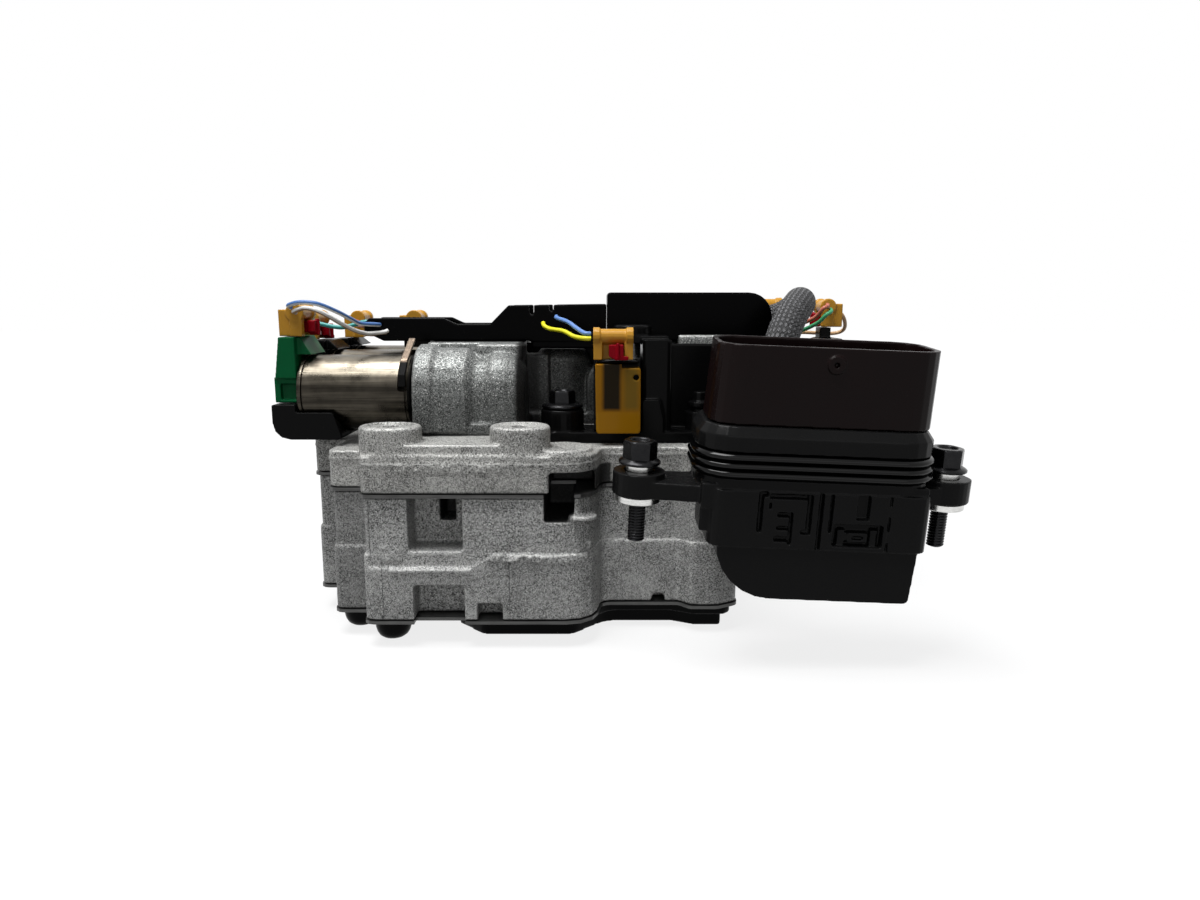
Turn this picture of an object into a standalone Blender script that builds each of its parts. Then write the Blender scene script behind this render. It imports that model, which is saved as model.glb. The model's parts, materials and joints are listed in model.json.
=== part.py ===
"""Hydraulic valve body of an automatic transmission, as an assembly of separate pieces.

Units are metres. X runs along the solenoid cans, Y away from the front face, Z up.
The origin lies on the face of the bottom cover that the assembly rests on.
"""

import math

import bmesh
import bpy
from mathutils import Vector

# Shared clearances and levels
GAP = 0.0003
FRONT_Y = -0.062

COVER_HEIGHT = 0.0085
LOWER_PLATE = 0.0012
LOWER_HEIGHT = 0.0446
SEPARATOR = 0.0012
UPPER_SHELF = 0.0133
UPPER_DECK = 0.0173
DIE_LINE_Z = 0.034

LOWER_PLATE_Z = COVER_HEIGHT + GAP
LOWER_Z = LOWER_PLATE_Z + LOWER_PLATE + GAP
LOWER_TOP = LOWER_Z + LOWER_HEIGHT
SEPARATOR_Z = LOWER_TOP + GAP
UPPER_Z = SEPARATOR_Z + SEPARATOR + GAP
SHELF_TOP = UPPER_Z + UPPER_SHELF
DECK_TOP = UPPER_Z + UPPER_DECK

# Plan of the castings
BLOCK_LEFT = -0.0846
STEP_ONE_LEFT = -0.0988
STEP_ONE_DEPTH = 0.012
STEP_TWO_LEFT = -0.1130
STEP_TWO_DEPTH = 0.040
LOBE_RIGHT = -0.0025
RECESS_DEPTH = 0.020
COLUMN_LEFT = 0.0300
COLUMN_RIGHT = 0.0440
COLUMN_PROUD = 0.0045
FRONT_RIGHT = 0.052
WING_DEPTH = 0.062
WING_RIGHT = 0.086
CASTING_DEPTH = 0.122
LOBE_RADIUS = 0.011
EDGE_RADIUS = 0.0035
TIER_PROUD = 0.0009
COVER_LEFT = -0.0580
COVER_INSET = 0.0085
COVER_LIP = 0.0035
RIB_X = (-0.0750, -0.0460)
TIER_DROP = 0.0045
PLATE_PROUD = 0.0004

# Windows in the front face of the castings, as (left, right)
HIGH_WINDOW_X = (-0.0681, -0.0488)
SLOT_X = (-0.0584, -0.0530)
LOW_WINDOW_X = (-0.0667, -0.0484)
SMALL_NOTCH_X = (-0.0440, -0.0350)
STEP_NOTCH_X = (-0.0198, -0.0090)
UPPER_WINDOW_X = (-0.0180, -0.0020)
ARCH_X = (0.0198, 0.0247)
OPEN_FRONT = -0.0020

# Bosses and ledges on the upper casting
BOSS_HOLE_RADIUS = 0.0033
BOSS_RISE = 0.0058
BOSS_DEPTHS = (0.0004, 0.0182)
BOSS_XS = (-0.0747, -0.0285)
BOSS_HALF_WIDTHS = (0.0111, 0.0108)
LEDGE_DEPTH = 0.021

# Fasteners of the stack
STACK_BOLT_RADIUS = 0.0030
STACK_BOLT_HEAD = 0.0066
STACK_BOLT_REACH = 0.0560
STACK_BOLTS = (
    (BLOCK_LEFT + 0.0079, 0.0105),
    (STEP_ONE_LEFT + 0.0068, STEP_ONE_DEPTH + 0.0115),
    (WING_RIGHT - 0.0160, CASTING_DEPTH - 0.0200),
)
BOLT_CLEARANCE = 0.0004

# Solenoid cans and their housing
HOUSING_Z = DECK_TOP + GAP
CAN_RISE = 0.0145
CAN_Z = HOUSING_Z + CAN_RISE
BRIDGE_RISE = 0.0329
BRIDGE_TOP = HOUSING_Z + BRIDGE_RISE
CAN_RADIUS = 0.0145
CAN_LENGTH = 0.0425
CAN_SEAT = 0.0007
CAN_OUT = CAN_SEAT + CAN_LENGTH
NOSE_RADIUS = 0.0095
NOSE_LENGTH = 0.0300
LEFT_MOUTH = -0.0690
RIGHT_MOUTH = 0.0530
TUBE_LENGTH = 0.0410
TUBE_WALL = 0.0025
TUBE_RISE = 0.0008
FIRST_CAN_DEPTH = 0.0360
BANK_PITCH = 0.0340
LEFT_BANK = tuple(FIRST_CAN_DEPTH + BANK_PITCH * step for step in range(3))
RIGHT_BANK_DEPTH = 0.083
RIGHT_BANK_RISE = 0.0028
HOUSING_SLAB = 0.0040
CAP_THICK = 0.0079
CAP_HALF_WIDTH = 0.0115
CAP_LEDGE = 0.0060
CAP_SKIRT = 0.0030
CAP_HOOK = 0.0050
CAP_HOOK_HALF_WIDTH = 0.0085
CAP_SLOT = 0.0030
CAP_SLOT_Z = (-0.0020, 0.0041)
LEFT_CAP_RISES = (0.0068, 0.0041, 0.0035)
LEFT_PLUG_SHIFTS = (0.0, 0.0055, -0.0040)
CRADLE_OUT = 0.0088
CRADLE_FOOT = 0.0258
CRADLE_FRONT = 0.0145
CRADLE_BACK = 0.0120
CRADLE_RISE = 0.0024
RIGHT_CAP_RISE = 0.0014
RIGHT_STALK = 0.0045
PAD_LENGTH = 0.0190
LEDGE_X = (0.0310, 0.0490)
LEDGE_REACH = 0.0047
LEDGE_RISE = 0.0028
DOME_X = -0.0155
DOME_DEPTH = 0.0660
DOME_RADIUS = 0.0115
DOME_RISE = 0.0297
STUB_RADIUS = 0.0120
STUB_LENGTH = 0.0300

# Plugs and locks of the solenoid leads
BARREL_RADIUS = 0.0028
BARREL_LENGTH = 0.0146
COLLAR_RADIUS = 0.0034
COLLAR_WIDTH = 0.0024
PLUG_DROP = 0.0085
PLUG_BACK = 0.0062
LEG_WIDTH = 0.0032
COIL_NECK = 0.0011

# Front solenoid with the clear cap, and the moulded bracket around it
CLEAR_CAP_X = (-0.0018, 0.0150)
CLEAR_CAP_HEIGHT = 0.0258
CLEAR_CAP_FRONT = 0.0220
CLEAR_CAP_THICK = 0.0080
BRACKET_X = (-0.0300, 0.0480)
BRACKET_PLATE = 0.0038
BRACKET_FRONT = 0.0280
BRACKET_BACK = 0.0500
BRACKET_BLOCK_WIDTH = 0.0110
BRACKET_BLOCK_FRONT = 0.0300
BRACKET_DISC_X = 0.0125
BRACKET_DISC_DEPTH = 0.0425
BRACKET_DISC_RADIUS = 0.0075
BRACKET_TOP = BRIDGE_TOP + 0.0016
WALL_THICK = 0.0022
WALL_TOP = BRIDGE_TOP - 0.0004
STUD_X = 0.0385
STUD_DEPTH = 0.0345
STUD_RADIUS = 0.0048
STUD_RISE = 0.0150
COLLAR_X = -0.0145
COLLAR_DEPTH = 0.0365
COLLAR_BOSS_RADIUS = 0.0083
COLLAR_BOSS_TOP = SHELF_TOP + 0.0124

# Harness tray and its hood
TRAY_DEPTH = (0.050, 0.072)
TRAY_WALL = 0.0018
TRAY_FLOOR = BRIDGE_TOP + GAP
TRAY_ENDS = (-0.0935, 0.0025)
TRAY_SKIRT = 0.0029
HOOD_DEPTH = (TRAY_DEPTH[0], RIGHT_BANK_DEPTH + 0.0090)
HOOD_ENDS = (TRAY_ENDS[1] + GAP, 0.0680)
HOOD_HEIGHT = 0.0190
HOOD_TOP = TRAY_FLOOR + HOOD_HEIGHT
HOOD_SHOULDER = 0.0100
TRAY_LOW_WALL = 0.0090
TRAY_DIP_WALL = 0.0067

# Pressure switch and oil temperature sensor at the back
SWITCH_X = 0.0760
SWITCH_RADIUS = 0.0105
SWITCH_DEPTH = RIGHT_BANK_DEPTH + CAN_RADIUS + 2 * GAP + SWITCH_RADIUS
SWITCH_TOP = DECK_TOP + 0.0385
SWITCH_HEAD = 0.0165
SWITCH_HEAD_X = 0.0085
SWITCH_HEAD_Y = 0.0062
SENSOR_X = -0.0775
SENSOR_HALF_WIDTH = 0.0055
PROBE_RADIUS = 0.0011

# Main connector, in its own upright frame at the middle of its bolt axes
CONNECTOR_X = 0.0650
CONNECTOR_DEPTH = -0.0110
CONNECTOR_Z = 0.0635
CONNECTOR_ROLL = 2.4
CONNECTOR_LEAN = 3.5
BOLT_SPACING = 0.1040
SHROUD_X = (-0.0310, 0.0420)
SHROUD_Y = (-0.0110, 0.0195)
SHROUD_HEIGHT = 0.0255
SHROUD_CORNER = 0.0090
SHROUD_WALL = 0.0018
SHROUD_DRAFT = 0.0018
RIM_SHORT = 0.0017
LIP_Z = (0.0125, 0.0205)
LIP_MARGIN = 0.0031
LIP_BEVEL = 0.0022
WAIST_MARGIN = LIP_MARGIN - 0.0016
SEAL_Z = (0.0040, 0.0122)
SEAL_BASE = 0.0008
SEAL_PROUD = 0.0016
SEAL_RIBS = 3
SHOULDER_Z = (-0.0010, 0.0037)
BLOCK_PROUD = 0.0030
BLOCK_BOTTOM = -0.0190
BULB_BOTTOM = -0.0371
EAR_THICKNESS = 0.0079
EAR_RADIUS = 0.0088
EAR_TOP = 0.0020
RIGHT_EAR_RISE = 0.0007
RIGHT_EAR_BACK = 0.0045
M6_RADIUS = 0.0030
M6_HEX = 0.0050
M6_HEAD = 0.0080
M6_LENGTH = 0.0270
M6_FLANGE_RADIUS = 0.0071
BUSH_WALL = 0.0016
BUSH_COLLAR = 0.0030
BUSH_PROUD = 0.0020
BRACKET_BOLT_HEX = 0.0044
BRACKET_BOLT_HEAD = 0.0067
BRACKET_BOLT_FLANGE = 0.0080
PIN_COUNT = 8
PIN_ROWS = 3
PIN_WIDTH = 0.0016
PIN_THICKNESS = 0.0008
PIN_HEIGHT = 0.0085

# Braided sleeve and leads
SLEEVE_RADIUS = 0.0062
SLEEVE_ENTRY = (HOOD_ENDS[1] - 0.0025, RIGHT_BANK_DEPTH - 0.0110, TRAY_FLOOR + 0.0075)
SLEEVE_NEAR = (
    (-0.0023, 0.0210, -0.0123), (-0.0022, 0.0260, -0.0122), (-0.0020, 0.0313, -0.0065),
    (-0.0018, 0.0334, 0.0035), (-0.0015, 0.0332, 0.0185), (-0.0007, 0.0318, 0.0345),
    (0.0015, 0.0345, 0.0455), (0.0065, 0.0430, 0.0540),
)
SLEEVE_FAR = (
    (0.0115, -0.0285, 0.0070), (0.0142, -0.0160, 0.0070), (0.0135, -0.0055, 0.0040),
    (0.0080, -0.0005, 0.0008), (0.0, 0.0, 0.0),
)
WIRE_RADIUS = 0.00085

# Valves inside the lower casting
MANUAL_X = -0.060
MANUAL_Z = 0.033
MANUAL_RADIUS = 0.0070
MANUAL_LENGTH = 0.1000
MANUAL_STROKE = 0.0100
MANUAL_REST_DEPTH = 0.036
REGULATOR_X = 0.012
REGULATOR_Z = 0.033
REGULATOR_RADIUS = 0.0055
REGULATOR_LENGTH = 0.0400
REGULATOR_REST_DEPTH = 0.0600
SPRING_LENGTH = 0.0120
SPRING_WIRE = 0.0006
SPRING_TURNS = 3
PLUG_LENGTH = 0.0080
BORE_CLEARANCE = 0.00035

# Leads: colour, start and end place, and the points of the route from each, as (x, depth, z)
LEADS = {
    "lead_1_white": ((0.8, 0.8, 0.78), "plug_1", (
        (0.0008, -0.0080, 0.0002), (0.0012, -0.0104, 0.0006), (0.0055, -0.0122, 0.0018),
        (0.0099, -0.0125, 0.0010), (0.0135, -0.0100, -0.0012), (0.0165, -0.0040, -0.0042),
        (0.0189, 0.0025, -0.0066),
    ), "tray_left", (
        (0.0029, -0.0080, 0.0033), (0.0060, -0.0035, 0.0033), (0.0085, -0.0016, 0.0036),
        (0.0095, -0.0006, 0.0041),
    )),
    "lead_1_blue": ((0.05, 0.16, 0.5), "plug_1", (
        (-0.0009, -0.0080, 0.0020), (-0.0006, -0.0104, 0.0028), (0.0040, -0.0118, 0.0038),
        (0.0100, -0.0110, 0.0032), (0.0150, -0.0050, 0.0004), (0.0180, 0.0020, -0.0024),
    ), "tray_left", (
        (0.0010, -0.0090, 0.0072), (0.0058, -0.0035, 0.0066), (0.0064, -0.0007, 0.0064),
    )),
    "lead_front_yellow": ((0.75, 0.72, 0.02), "front_plug", (
        (-0.00835, -0.0008, -0.0008), (-0.01075, -0.0006, -0.0007), (-0.01455, 0.0048, -0.0002),
    ), "tray_right", (
        (-0.0165, -0.0115, 0.0043), (-0.0220, -0.0055, 0.0050), (-0.0244, -0.0030, 0.0061),
        (-0.0249, -0.0008, 0.0071),
    )),
    "lead_front_blue": ((0.1, 0.22, 0.5), "front_plug", (
        (-0.00835, 0.0009, 0.0009), (-0.01075, 0.0013, 0.0012), (-0.01405, 0.0078, 0.0030),
    ), "tray_right", (
        (-0.0150, -0.0080, 0.0087), (-0.0193, -0.0030, 0.0093), (-0.0197, -0.0006, 0.0096),
    )),
    "lead_2_teal": ((0.03, 0.3, 0.28), "plug_2", (
        (0.0004, -0.0080, -0.0002), (0.0012, -0.0104, -0.0002), (0.0050, -0.0115, -0.0020),
    ), "tray_left", (
        (-0.0110, 0.0050, 0.0052), (-0.0055, 0.0060, 0.0062), (-0.0008, 0.0066, 0.0074),
        (0.0040, 0.0066, 0.0060),
    )),
    "lead_3_red": ((0.45, 0.08, 0.05), "plug_3", (
        (0.0000, -0.0080, -0.0013), (0.0006, -0.0126, -0.0018), (0.0024, -0.0170, -0.0028),
    ), "tray_left_back", (
        (-0.0080, 0.0055, 0.0052), (-0.0045, 0.0015, 0.0060), (-0.0010, -0.0035, 0.0076),
        (0.0040, -0.0045, 0.0062),
    )),
    "lead_4_red": ((0.45, 0.12, 0.08), "plug_4", (
        (-0.0008, -0.0083, 0.0008), (-0.0014, -0.0110, 0.0002), (-0.0034, -0.0118, -0.0008),
    ), "hood_right", (
        (0.0220, -0.0200, 0.0085), (0.0150, -0.0130, 0.0051), (0.0070, -0.0082, 0.0040),
        (0.0004, -0.0070, 0.0040),
    )),
    "lead_4_green": ((0.05, 0.35, 0.15), "plug_4", (
        (0.0006, -0.0083, -0.0011), (0.0001, -0.0110, -0.0020), (-0.0022, -0.0120, -0.0034),
    ), "hood_right", (
        (0.0230, -0.0210, 0.0063), (0.0160, -0.0130, 0.0023), (0.0070, -0.0082, 0.0015),
        (0.0004, -0.0075, 0.0015),
    )),
    "lead_4_tan": ((0.6, 0.38, 0.2), "plug_4", (
        (0.0000, 0.0085, 0.0000), (0.0006, 0.0115, 0.0002), (0.0051, 0.0135, 0.0002),
        (0.0114, 0.0125, -0.0038), (0.0141, 0.0175, -0.0098),
    ), "hood_right", (
        (0.0380, 0.0085, 0.0011), (0.0240, 0.0045, 0.0017), (0.0110, 0.0005, 0.0019),
        (0.0004, -0.0035, 0.0021),
    )),
}


def depth(distance):
    """World Y of a point this far behind the front face of the castings."""
    return FRONT_Y + distance


def clear_scene():
    for obj in list(bpy.data.objects):
        bpy.data.objects.remove(obj, do_unlink=True)


def new_material(name, colour, roughness, metallic=0.0):
    material = bpy.data.materials.new(name)
    material.use_nodes = True
    shader = material.node_tree.nodes["Principled BSDF"]
    shader.inputs["Base Color"].default_value = (*colour, 1.0)
    shader.inputs["Roughness"].default_value = roughness
    shader.inputs["Metallic"].default_value = metallic
    material.diffuse_color = (*colour, 1.0)
    return material


def finish_bmesh(bm):
    bmesh.ops.remove_doubles(bm, verts=bm.verts, dist=1e-7)
    bmesh.ops.recalc_face_normals(bm, faces=bm.faces)
    return bm


PLACE = {
    "X": lambda u, v, w: (w, u, v),
    "Y": lambda u, v, w: (u, w, v),
    "Z": lambda u, v, w: (u, v, w),
}


def rounded(corners, steps=3):
    """The closed outline through these corners, each (u, v, radius), with arcs at the corners."""
    points = []
    for index, (u, v, radius) in enumerate(corners):
        here = Vector((u, v))
        before = Vector(corners[index - 1][:2]) - here
        after = Vector(corners[(index + 1) % len(corners)][:2]) - here
        angle = before.angle(after)
        if radius <= 0 or math.pi - angle < 0.01:
            points.append(here)
            continue
        reach = min(radius / math.tan(angle / 2), 0.49 * before.length, 0.49 * after.length)
        fillet = reach * math.tan(angle / 2)
        middle = (before.normalized() + after.normalized()).normalized()
        centre = here + middle * fillet / math.sin(angle / 2)
        start = here + before.normalized() * reach - centre
        end = here + after.normalized() * reach - centre
        first = math.atan2(start.y, start.x)
        sweep = (math.atan2(end.y, end.x) - first + math.pi) % (2 * math.pi) - math.pi
        for step in range(steps + 1):
            turn = first + sweep * step / steps
            points.append(centre + fillet * Vector((math.cos(turn), math.sin(turn))))
    return points


def grown(corners, distance):
    """The same counter-clockwise corners with every edge moved outwards by this distance."""
    result = []
    for index, (u, v, radius) in enumerate(corners):
        here = Vector((u, v))
        arriving = (here - Vector(corners[index - 1][:2])).normalized()
        leaving = (Vector(corners[(index + 1) % len(corners)][:2]) - here).normalized()
        out = Vector((arriving.y + leaving.y, -arriving.x - leaving.x)).normalized()
        reach = distance / max(0.3, out.dot(Vector((leaving.y, -leaving.x))))
        convex = arriving.x * leaving.y - arriving.y * leaving.x > 0
        new_radius = radius + distance if convex else radius - distance
        result.append((u + out.x * reach, v + out.y * reach, max(0.0, new_radius)))
    return result


def rectangle(u_span, v_span, radius=0.0):
    (u0, u1), (v0, v1) = u_span, v_span
    return [(u0, v0, radius), (u1, v0, radius), (u1, v1, radius), (u0, v1, radius)]


def prism(points, low, high, axis="Z"):
    bm = bmesh.new()
    place = PLACE[axis]
    bottom = [bm.verts.new(place(p[0], p[1], low)) for p in points]
    top = [bm.verts.new(place(p[0], p[1], high)) for p in points]
    bm.faces.new(bottom)
    bm.faces.new(top)
    for index in range(len(points)):
        after = (index + 1) % len(points)
        bm.faces.new((bottom[index], bottom[after], top[after], top[index]))
    return finish_bmesh(bm)


def box(x_span, y_span, z_span):
    return prism(rectangle(x_span, y_span), *z_span)


def lofted(sections):
    """A closed skin through rings of points of equal length, with flat ends."""
    bm = bmesh.new()
    rings = [[bm.verts.new(p) for p in section] for section in sections]
    bm.faces.new(rings[0])
    bm.faces.new(rings[-1])
    count = len(rings[0])
    for near, far in zip(rings, rings[1:]):
        for index in range(count):
            after = (index + 1) % count
            bm.faces.new((near[index], near[after], far[after], far[index]))
    return finish_bmesh(bm)


def turned(profile, centre, axis="Z", segments=24, flip=1.0, phase=0.0):
    """A turned solid from (radius, height) pairs, from axis to axis or a ring clear of it."""
    bm = bmesh.new()
    place = PLACE[axis]
    turns = [phase + 2 * math.pi * k / segments for k in range(segments)]
    rings = []
    for radius, height in profile:
        if radius == 0:
            rings.append([bm.verts.new(Vector(centre) + Vector(place(0, 0, flip * height)))])
            continue
        rings.append([
            bm.verts.new(
                Vector(centre)
                + Vector(place(radius * math.cos(t), radius * math.sin(t), flip * height))
            )
            for t in turns
        ])
    pairs = list(zip(rings, rings[1:]))
    if profile[0][0] > 0:
        pairs.append((rings[-1], rings[0]))
    for near, far in pairs:
        for index in range(segments):
            after = (index + 1) % segments
            if len(near) == 1:
                bm.faces.new((near[0], far[index], far[after]))
            elif len(far) == 1:
                bm.faces.new((near[index], near[after], far[0]))
            else:
                bm.faces.new((near[index], near[after], far[after], far[index]))
    return finish_bmesh(bm)


def rod(radius, low, high, centre, axis="Z", segments=24, phase=0.0):
    """A plain cylinder between two places along its axis, measured from its centre point."""
    profile = [(0, low), (radius, low), (radius, high), (0, high)]
    return turned(profile, centre, axis, segments, phase=phase)


def add_object(name, bm, material=None, parent=None):
    mesh = bpy.data.meshes.new(name)
    bm.to_mesh(mesh)
    bm.free()
    obj = bpy.data.objects.new(name, mesh)
    bpy.context.scene.collection.objects.link(obj)
    if material is not None:
        mesh.materials.append(material)
    if parent is not None:
        obj.parent = parent
    return obj


def model(name, material, body, joins=(), cuts=(), parent=None, smooth=False):
    """One named piece: a body with shapes joined to it, then shapes cut from it."""
    obj = add_object(name, body, material, parent)
    steps = [("UNION", shape) for shape in joins] + [("DIFFERENCE", shape) for shape in cuts]
    for number, (operation, shape) in enumerate(steps):
        helper = add_object(f"{name}_helper_{number}", shape, None, parent)
        helper.hide_render = True
        helper.display_type = "WIRE"
        modifier = obj.modifiers.new(f"{operation.lower()}_{number}", "BOOLEAN")
        modifier.operation = operation
        modifier.solver = "EXACT"
        modifier.object = helper
    if smooth:
        obj.data.shade_smooth()
        obj.data.set_sharp_from_angle(angle=math.radians(35))
    return obj


def new_empty(name, location, degrees=(0.0, 0.0, 0.0)):
    empty = bpy.data.objects.new(name, None)
    bpy.context.scene.collection.objects.link(empty)
    empty.location = location
    empty.rotation_euler = [math.radians(turn) for turn in degrees]
    return empty


def smooth_route(points, spacing):
    """Points at even steps along a smooth curve through the route's own points."""
    ends = [points[0] * 2 - points[1]] + list(points) + [points[-1] * 2 - points[-2]]
    fine = []
    for index in range(1, len(ends) - 2):
        p0, p1, p2, p3 = ends[index - 1:index + 3]
        for step in range(24):
            t = step / 24
            fine.append(0.5 * (
                2 * p1 + (p2 - p0) * t + (2 * p0 - 5 * p1 + 4 * p2 - p3) * t * t
                + (3 * p1 - p0 - 3 * p2 + p3) * t ** 3
            ))
    fine.append(points[-1])
    lengths = [0.0]
    for near, far in zip(fine, fine[1:]):
        lengths.append(lengths[-1] + (far - near).length)
    count = max(2, round(lengths[-1] / spacing))
    route = []
    index = 0
    for step in range(count + 1):
        target = lengths[-1] * step / count
        while index < len(lengths) - 2 and lengths[index + 1] < target:
            index += 1
        share = (target - lengths[index]) / (lengths[index + 1] - lengths[index])
        route.append(fine[index].lerp(fine[index + 1], share))
    return route


def tube(name, points, radius, material, rings=2, spacing=2.0):
    """A round lead along a smooth route through these points."""
    curve = bpy.data.curves.new(name, "CURVE")
    curve.dimensions = "3D"
    curve.bevel_depth = radius
    curve.bevel_resolution = rings
    curve.use_fill_caps = True
    route = smooth_route([Vector(p) for p in points], spacing * 2 * radius)
    spline = curve.splines.new("POLY")
    spline.points.add(len(route) - 1)
    for point, place in zip(spline.points, route):
        point.co = (*place, 1.0)
    spline.use_smooth = True
    obj = bpy.data.objects.new(name, curve)
    bpy.context.scene.collection.objects.link(obj)
    curve.materials.append(material)
    return obj


def casting_corners(inset=0.0):
    """Plan corners shared by both castings and their plates, counter-clockwise."""
    back = CASTING_DEPTH
    corners = [
        (BLOCK_LEFT, 0.0, EDGE_RADIUS),
        (LOBE_RIGHT, 0.0, LOBE_RADIUS),
        (LOBE_RIGHT + 0.003, RECESS_DEPTH, 0.004),
        (COLUMN_LEFT, RECESS_DEPTH, 0.003),
        (COLUMN_LEFT + 0.004, RECESS_DEPTH - COLUMN_PROUD, 0.003),
        (COLUMN_RIGHT, RECESS_DEPTH - COLUMN_PROUD, 0.003),
        (FRONT_RIGHT, RECESS_DEPTH, EDGE_RADIUS),
        (FRONT_RIGHT, WING_DEPTH, EDGE_RADIUS),
        (WING_RIGHT, WING_DEPTH, EDGE_RADIUS),
        (WING_RIGHT, back, EDGE_RADIUS),
        (STEP_TWO_LEFT, back, EDGE_RADIUS),
        (STEP_TWO_LEFT, STEP_TWO_DEPTH, EDGE_RADIUS),
        (STEP_ONE_LEFT, STEP_TWO_DEPTH, 0.002),
        (STEP_ONE_LEFT, STEP_ONE_DEPTH, EDGE_RADIUS),
        (BLOCK_LEFT, STEP_ONE_DEPTH, 0.002),
    ]
    placed = [(x, depth(y), radius) for x, y, radius in corners]
    return grown(placed, -inset) if inset else placed


def deck_corners():
    """Plan of the raised deck on the upper casting, under the solenoid housing."""
    left = LEFT_MOUTH - 0.0125
    right = BRACKET_X[0] - 0.0006
    behind = BRACKET_BACK + 0.0006
    corners = [
        (left, LEDGE_DEPTH - 0.011, 0.002),
        (right, LEDGE_DEPTH - 0.011, 0.002),
        (right, behind, 0.0),
        (FRONT_RIGHT - 0.001, behind, 0.002),
        (FRONT_RIGHT - 0.001, WING_DEPTH + 0.002, 0.0),
        (WING_RIGHT - 0.004, WING_DEPTH + 0.002, 0.003),
        (WING_RIGHT - 0.004, CASTING_DEPTH - 0.003, 0.003),
        (left, CASTING_DEPTH - 0.003, 0.003),
    ]
    return [(x, depth(y), radius) for x, y, radius in corners]


def stack_holes(low, high, radius):
    return [rod(radius, low, high, (x, depth(y), 0.0), segments=16) for x, y in STACK_BOLTS]


def model_bottom_cover(material):
    near = COVER_INSET
    recess = RECESS_DEPTH + 0.0025
    right = FRONT_RIGHT - 0.002
    bulge = recess - COLUMN_PROUD
    wing = FRONT_RIGHT + 0.006
    back = CASTING_DEPTH - 0.010
    outer = STEP_ONE_LEFT + 0.003
    notch = STEP_TWO_DEPTH + 0.016
    corners = [
        (COVER_LEFT, near + 0.014, 0.006), (COVER_LEFT + 0.013, near, 0.008),
        (LOBE_RIGHT - 0.006, near, 0.010), (LOBE_RIGHT + 0.006, recess, 0.008),
        (COLUMN_LEFT - 0.003, recess, 0.004), (COLUMN_LEFT + 0.006, bulge, 0.004),
        (right, bulge, 0.005), (right, WING_DEPTH + 0.004, 0.006),
        (wing, WING_DEPTH + 0.016, 0.006), (wing, back, 0.008), (outer, back, 0.008),
        (outer, notch, 0.008), (COVER_LEFT, notch, 0.006),
    ]
    placed = [(x, depth(y), radius) for x, y, radius in corners]
    foot = rounded(grown(placed, -COVER_LIP))
    flange = prism(rounded(placed), COVER_HEIGHT - 0.003, COVER_HEIGHT)
    return model("bottom_cover", material, flange, joins=[prism(foot, 0.0, COVER_HEIGHT - 0.001)])


def model_lower_plate(material):
    outline = rounded(grown(casting_corners(), PLATE_PROUD))
    plan = prism(outline, LOWER_PLATE_Z, LOWER_PLATE_Z + LOWER_PLATE)
    notch = box(LOW_WINDOW_X, (depth(OPEN_FRONT), depth(0.0035)), (0.0, LOWER_Z))
    holes = stack_holes(0.0, LOWER_Z, STACK_BOLT_RADIUS + BOLT_CLEARANCE)
    return model("lower_gasket_plate", material, plan, cuts=[notch, *holes])


def model_separator_plate(material):
    outline = rounded(grown(casting_corners(), PLATE_PROUD))
    plan = prism(outline, SEPARATOR_Z, SEPARATOR_Z + SEPARATOR)
    notch = box(STEP_NOTCH_X, (depth(OPEN_FRONT), depth(0.0240)), (LOWER_TOP, UPPER_Z))
    holes = stack_holes(LOWER_TOP, UPPER_Z, STACK_BOLT_RADIUS + BOLT_CLEARANCE)
    return model("separator_plate", material, plan, cuts=[notch, *holes])


def model_lower_body(material):
    upper_tier = prism(rounded(casting_corners(TIER_PROUD)), DIE_LINE_Z - 0.001, LOWER_TOP)
    lower_tier = prism(rounded(casting_corners()), LOWER_Z, DIE_LINE_Z)
    below = LOWER_Z - 0.001
    above = LOWER_TOP + 0.001
    front = depth(OPEN_FRONT)
    front_face = (depth(-0.001), depth(TIER_PROUD))
    low_step = prism([
        (RIB_X[0] - 0.014, DIE_LINE_Z - TIER_DROP), (RIB_X[1], DIE_LINE_Z - TIER_DROP),
        (RIB_X[1] + 0.008, DIE_LINE_Z + 0.0005), (RIB_X[0] - 0.014, DIE_LINE_Z + 0.0005),
    ], *front_face, "Y")
    rib = box(RIB_X, (depth(-0.0009), depth(0.002)), (DIE_LINE_Z - 0.0060, DIE_LINE_Z - TIER_DROP + 0.0003))
    cuts = [
        low_step,
        box(HIGH_WINDOW_X, (front, depth(0.013)), (LOWER_TOP - 0.0192, above)),
        box(SLOT_X, (front, depth(0.024)), (LOWER_TOP - 0.0108, above)),
        box(LOW_WINDOW_X, (front, depth(0.009)), (below, LOWER_Z + 0.0127)),
        box(SMALL_NOTCH_X, (front, depth(0.007)), (below, LOWER_Z + 0.0061)),
        box(STEP_NOTCH_X, (front, depth(0.030)), (LOWER_TOP - 0.0089, above)),
        prism(
            rounded([(ARCH_X[0], below, 0.0), (ARCH_X[1], below, 0.0),
                     (ARCH_X[1], LOWER_Z + 0.0030, 0.002), (ARCH_X[0], LOWER_Z + 0.0030, 0.002)]),
            depth(RECESS_DEPTH - 0.004), depth(RECESS_DEPTH + 0.006), "Y",
        ),
        rod(MANUAL_RADIUS + BORE_CLEARANCE, depth(MANUAL_REST_DEPTH - MANUAL_STROKE - 0.003),
            depth(CASTING_DEPTH + 0.002), (MANUAL_X, 0.0, MANUAL_Z), "Y", 20),
        rod(REGULATOR_RADIUS + BORE_CLEARANCE, depth(REGULATOR_REST_DEPTH - 0.003),
            depth(CASTING_DEPTH + 0.002), (REGULATOR_X, 0.0, REGULATOR_Z), "Y", 20),
    ]
    holes = stack_holes(below, above, STACK_BOLT_RADIUS + BOLT_CLEARANCE)
    return model("lower_valve_body", material, lower_tier, [upper_tier, rib], cuts + holes)


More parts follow.
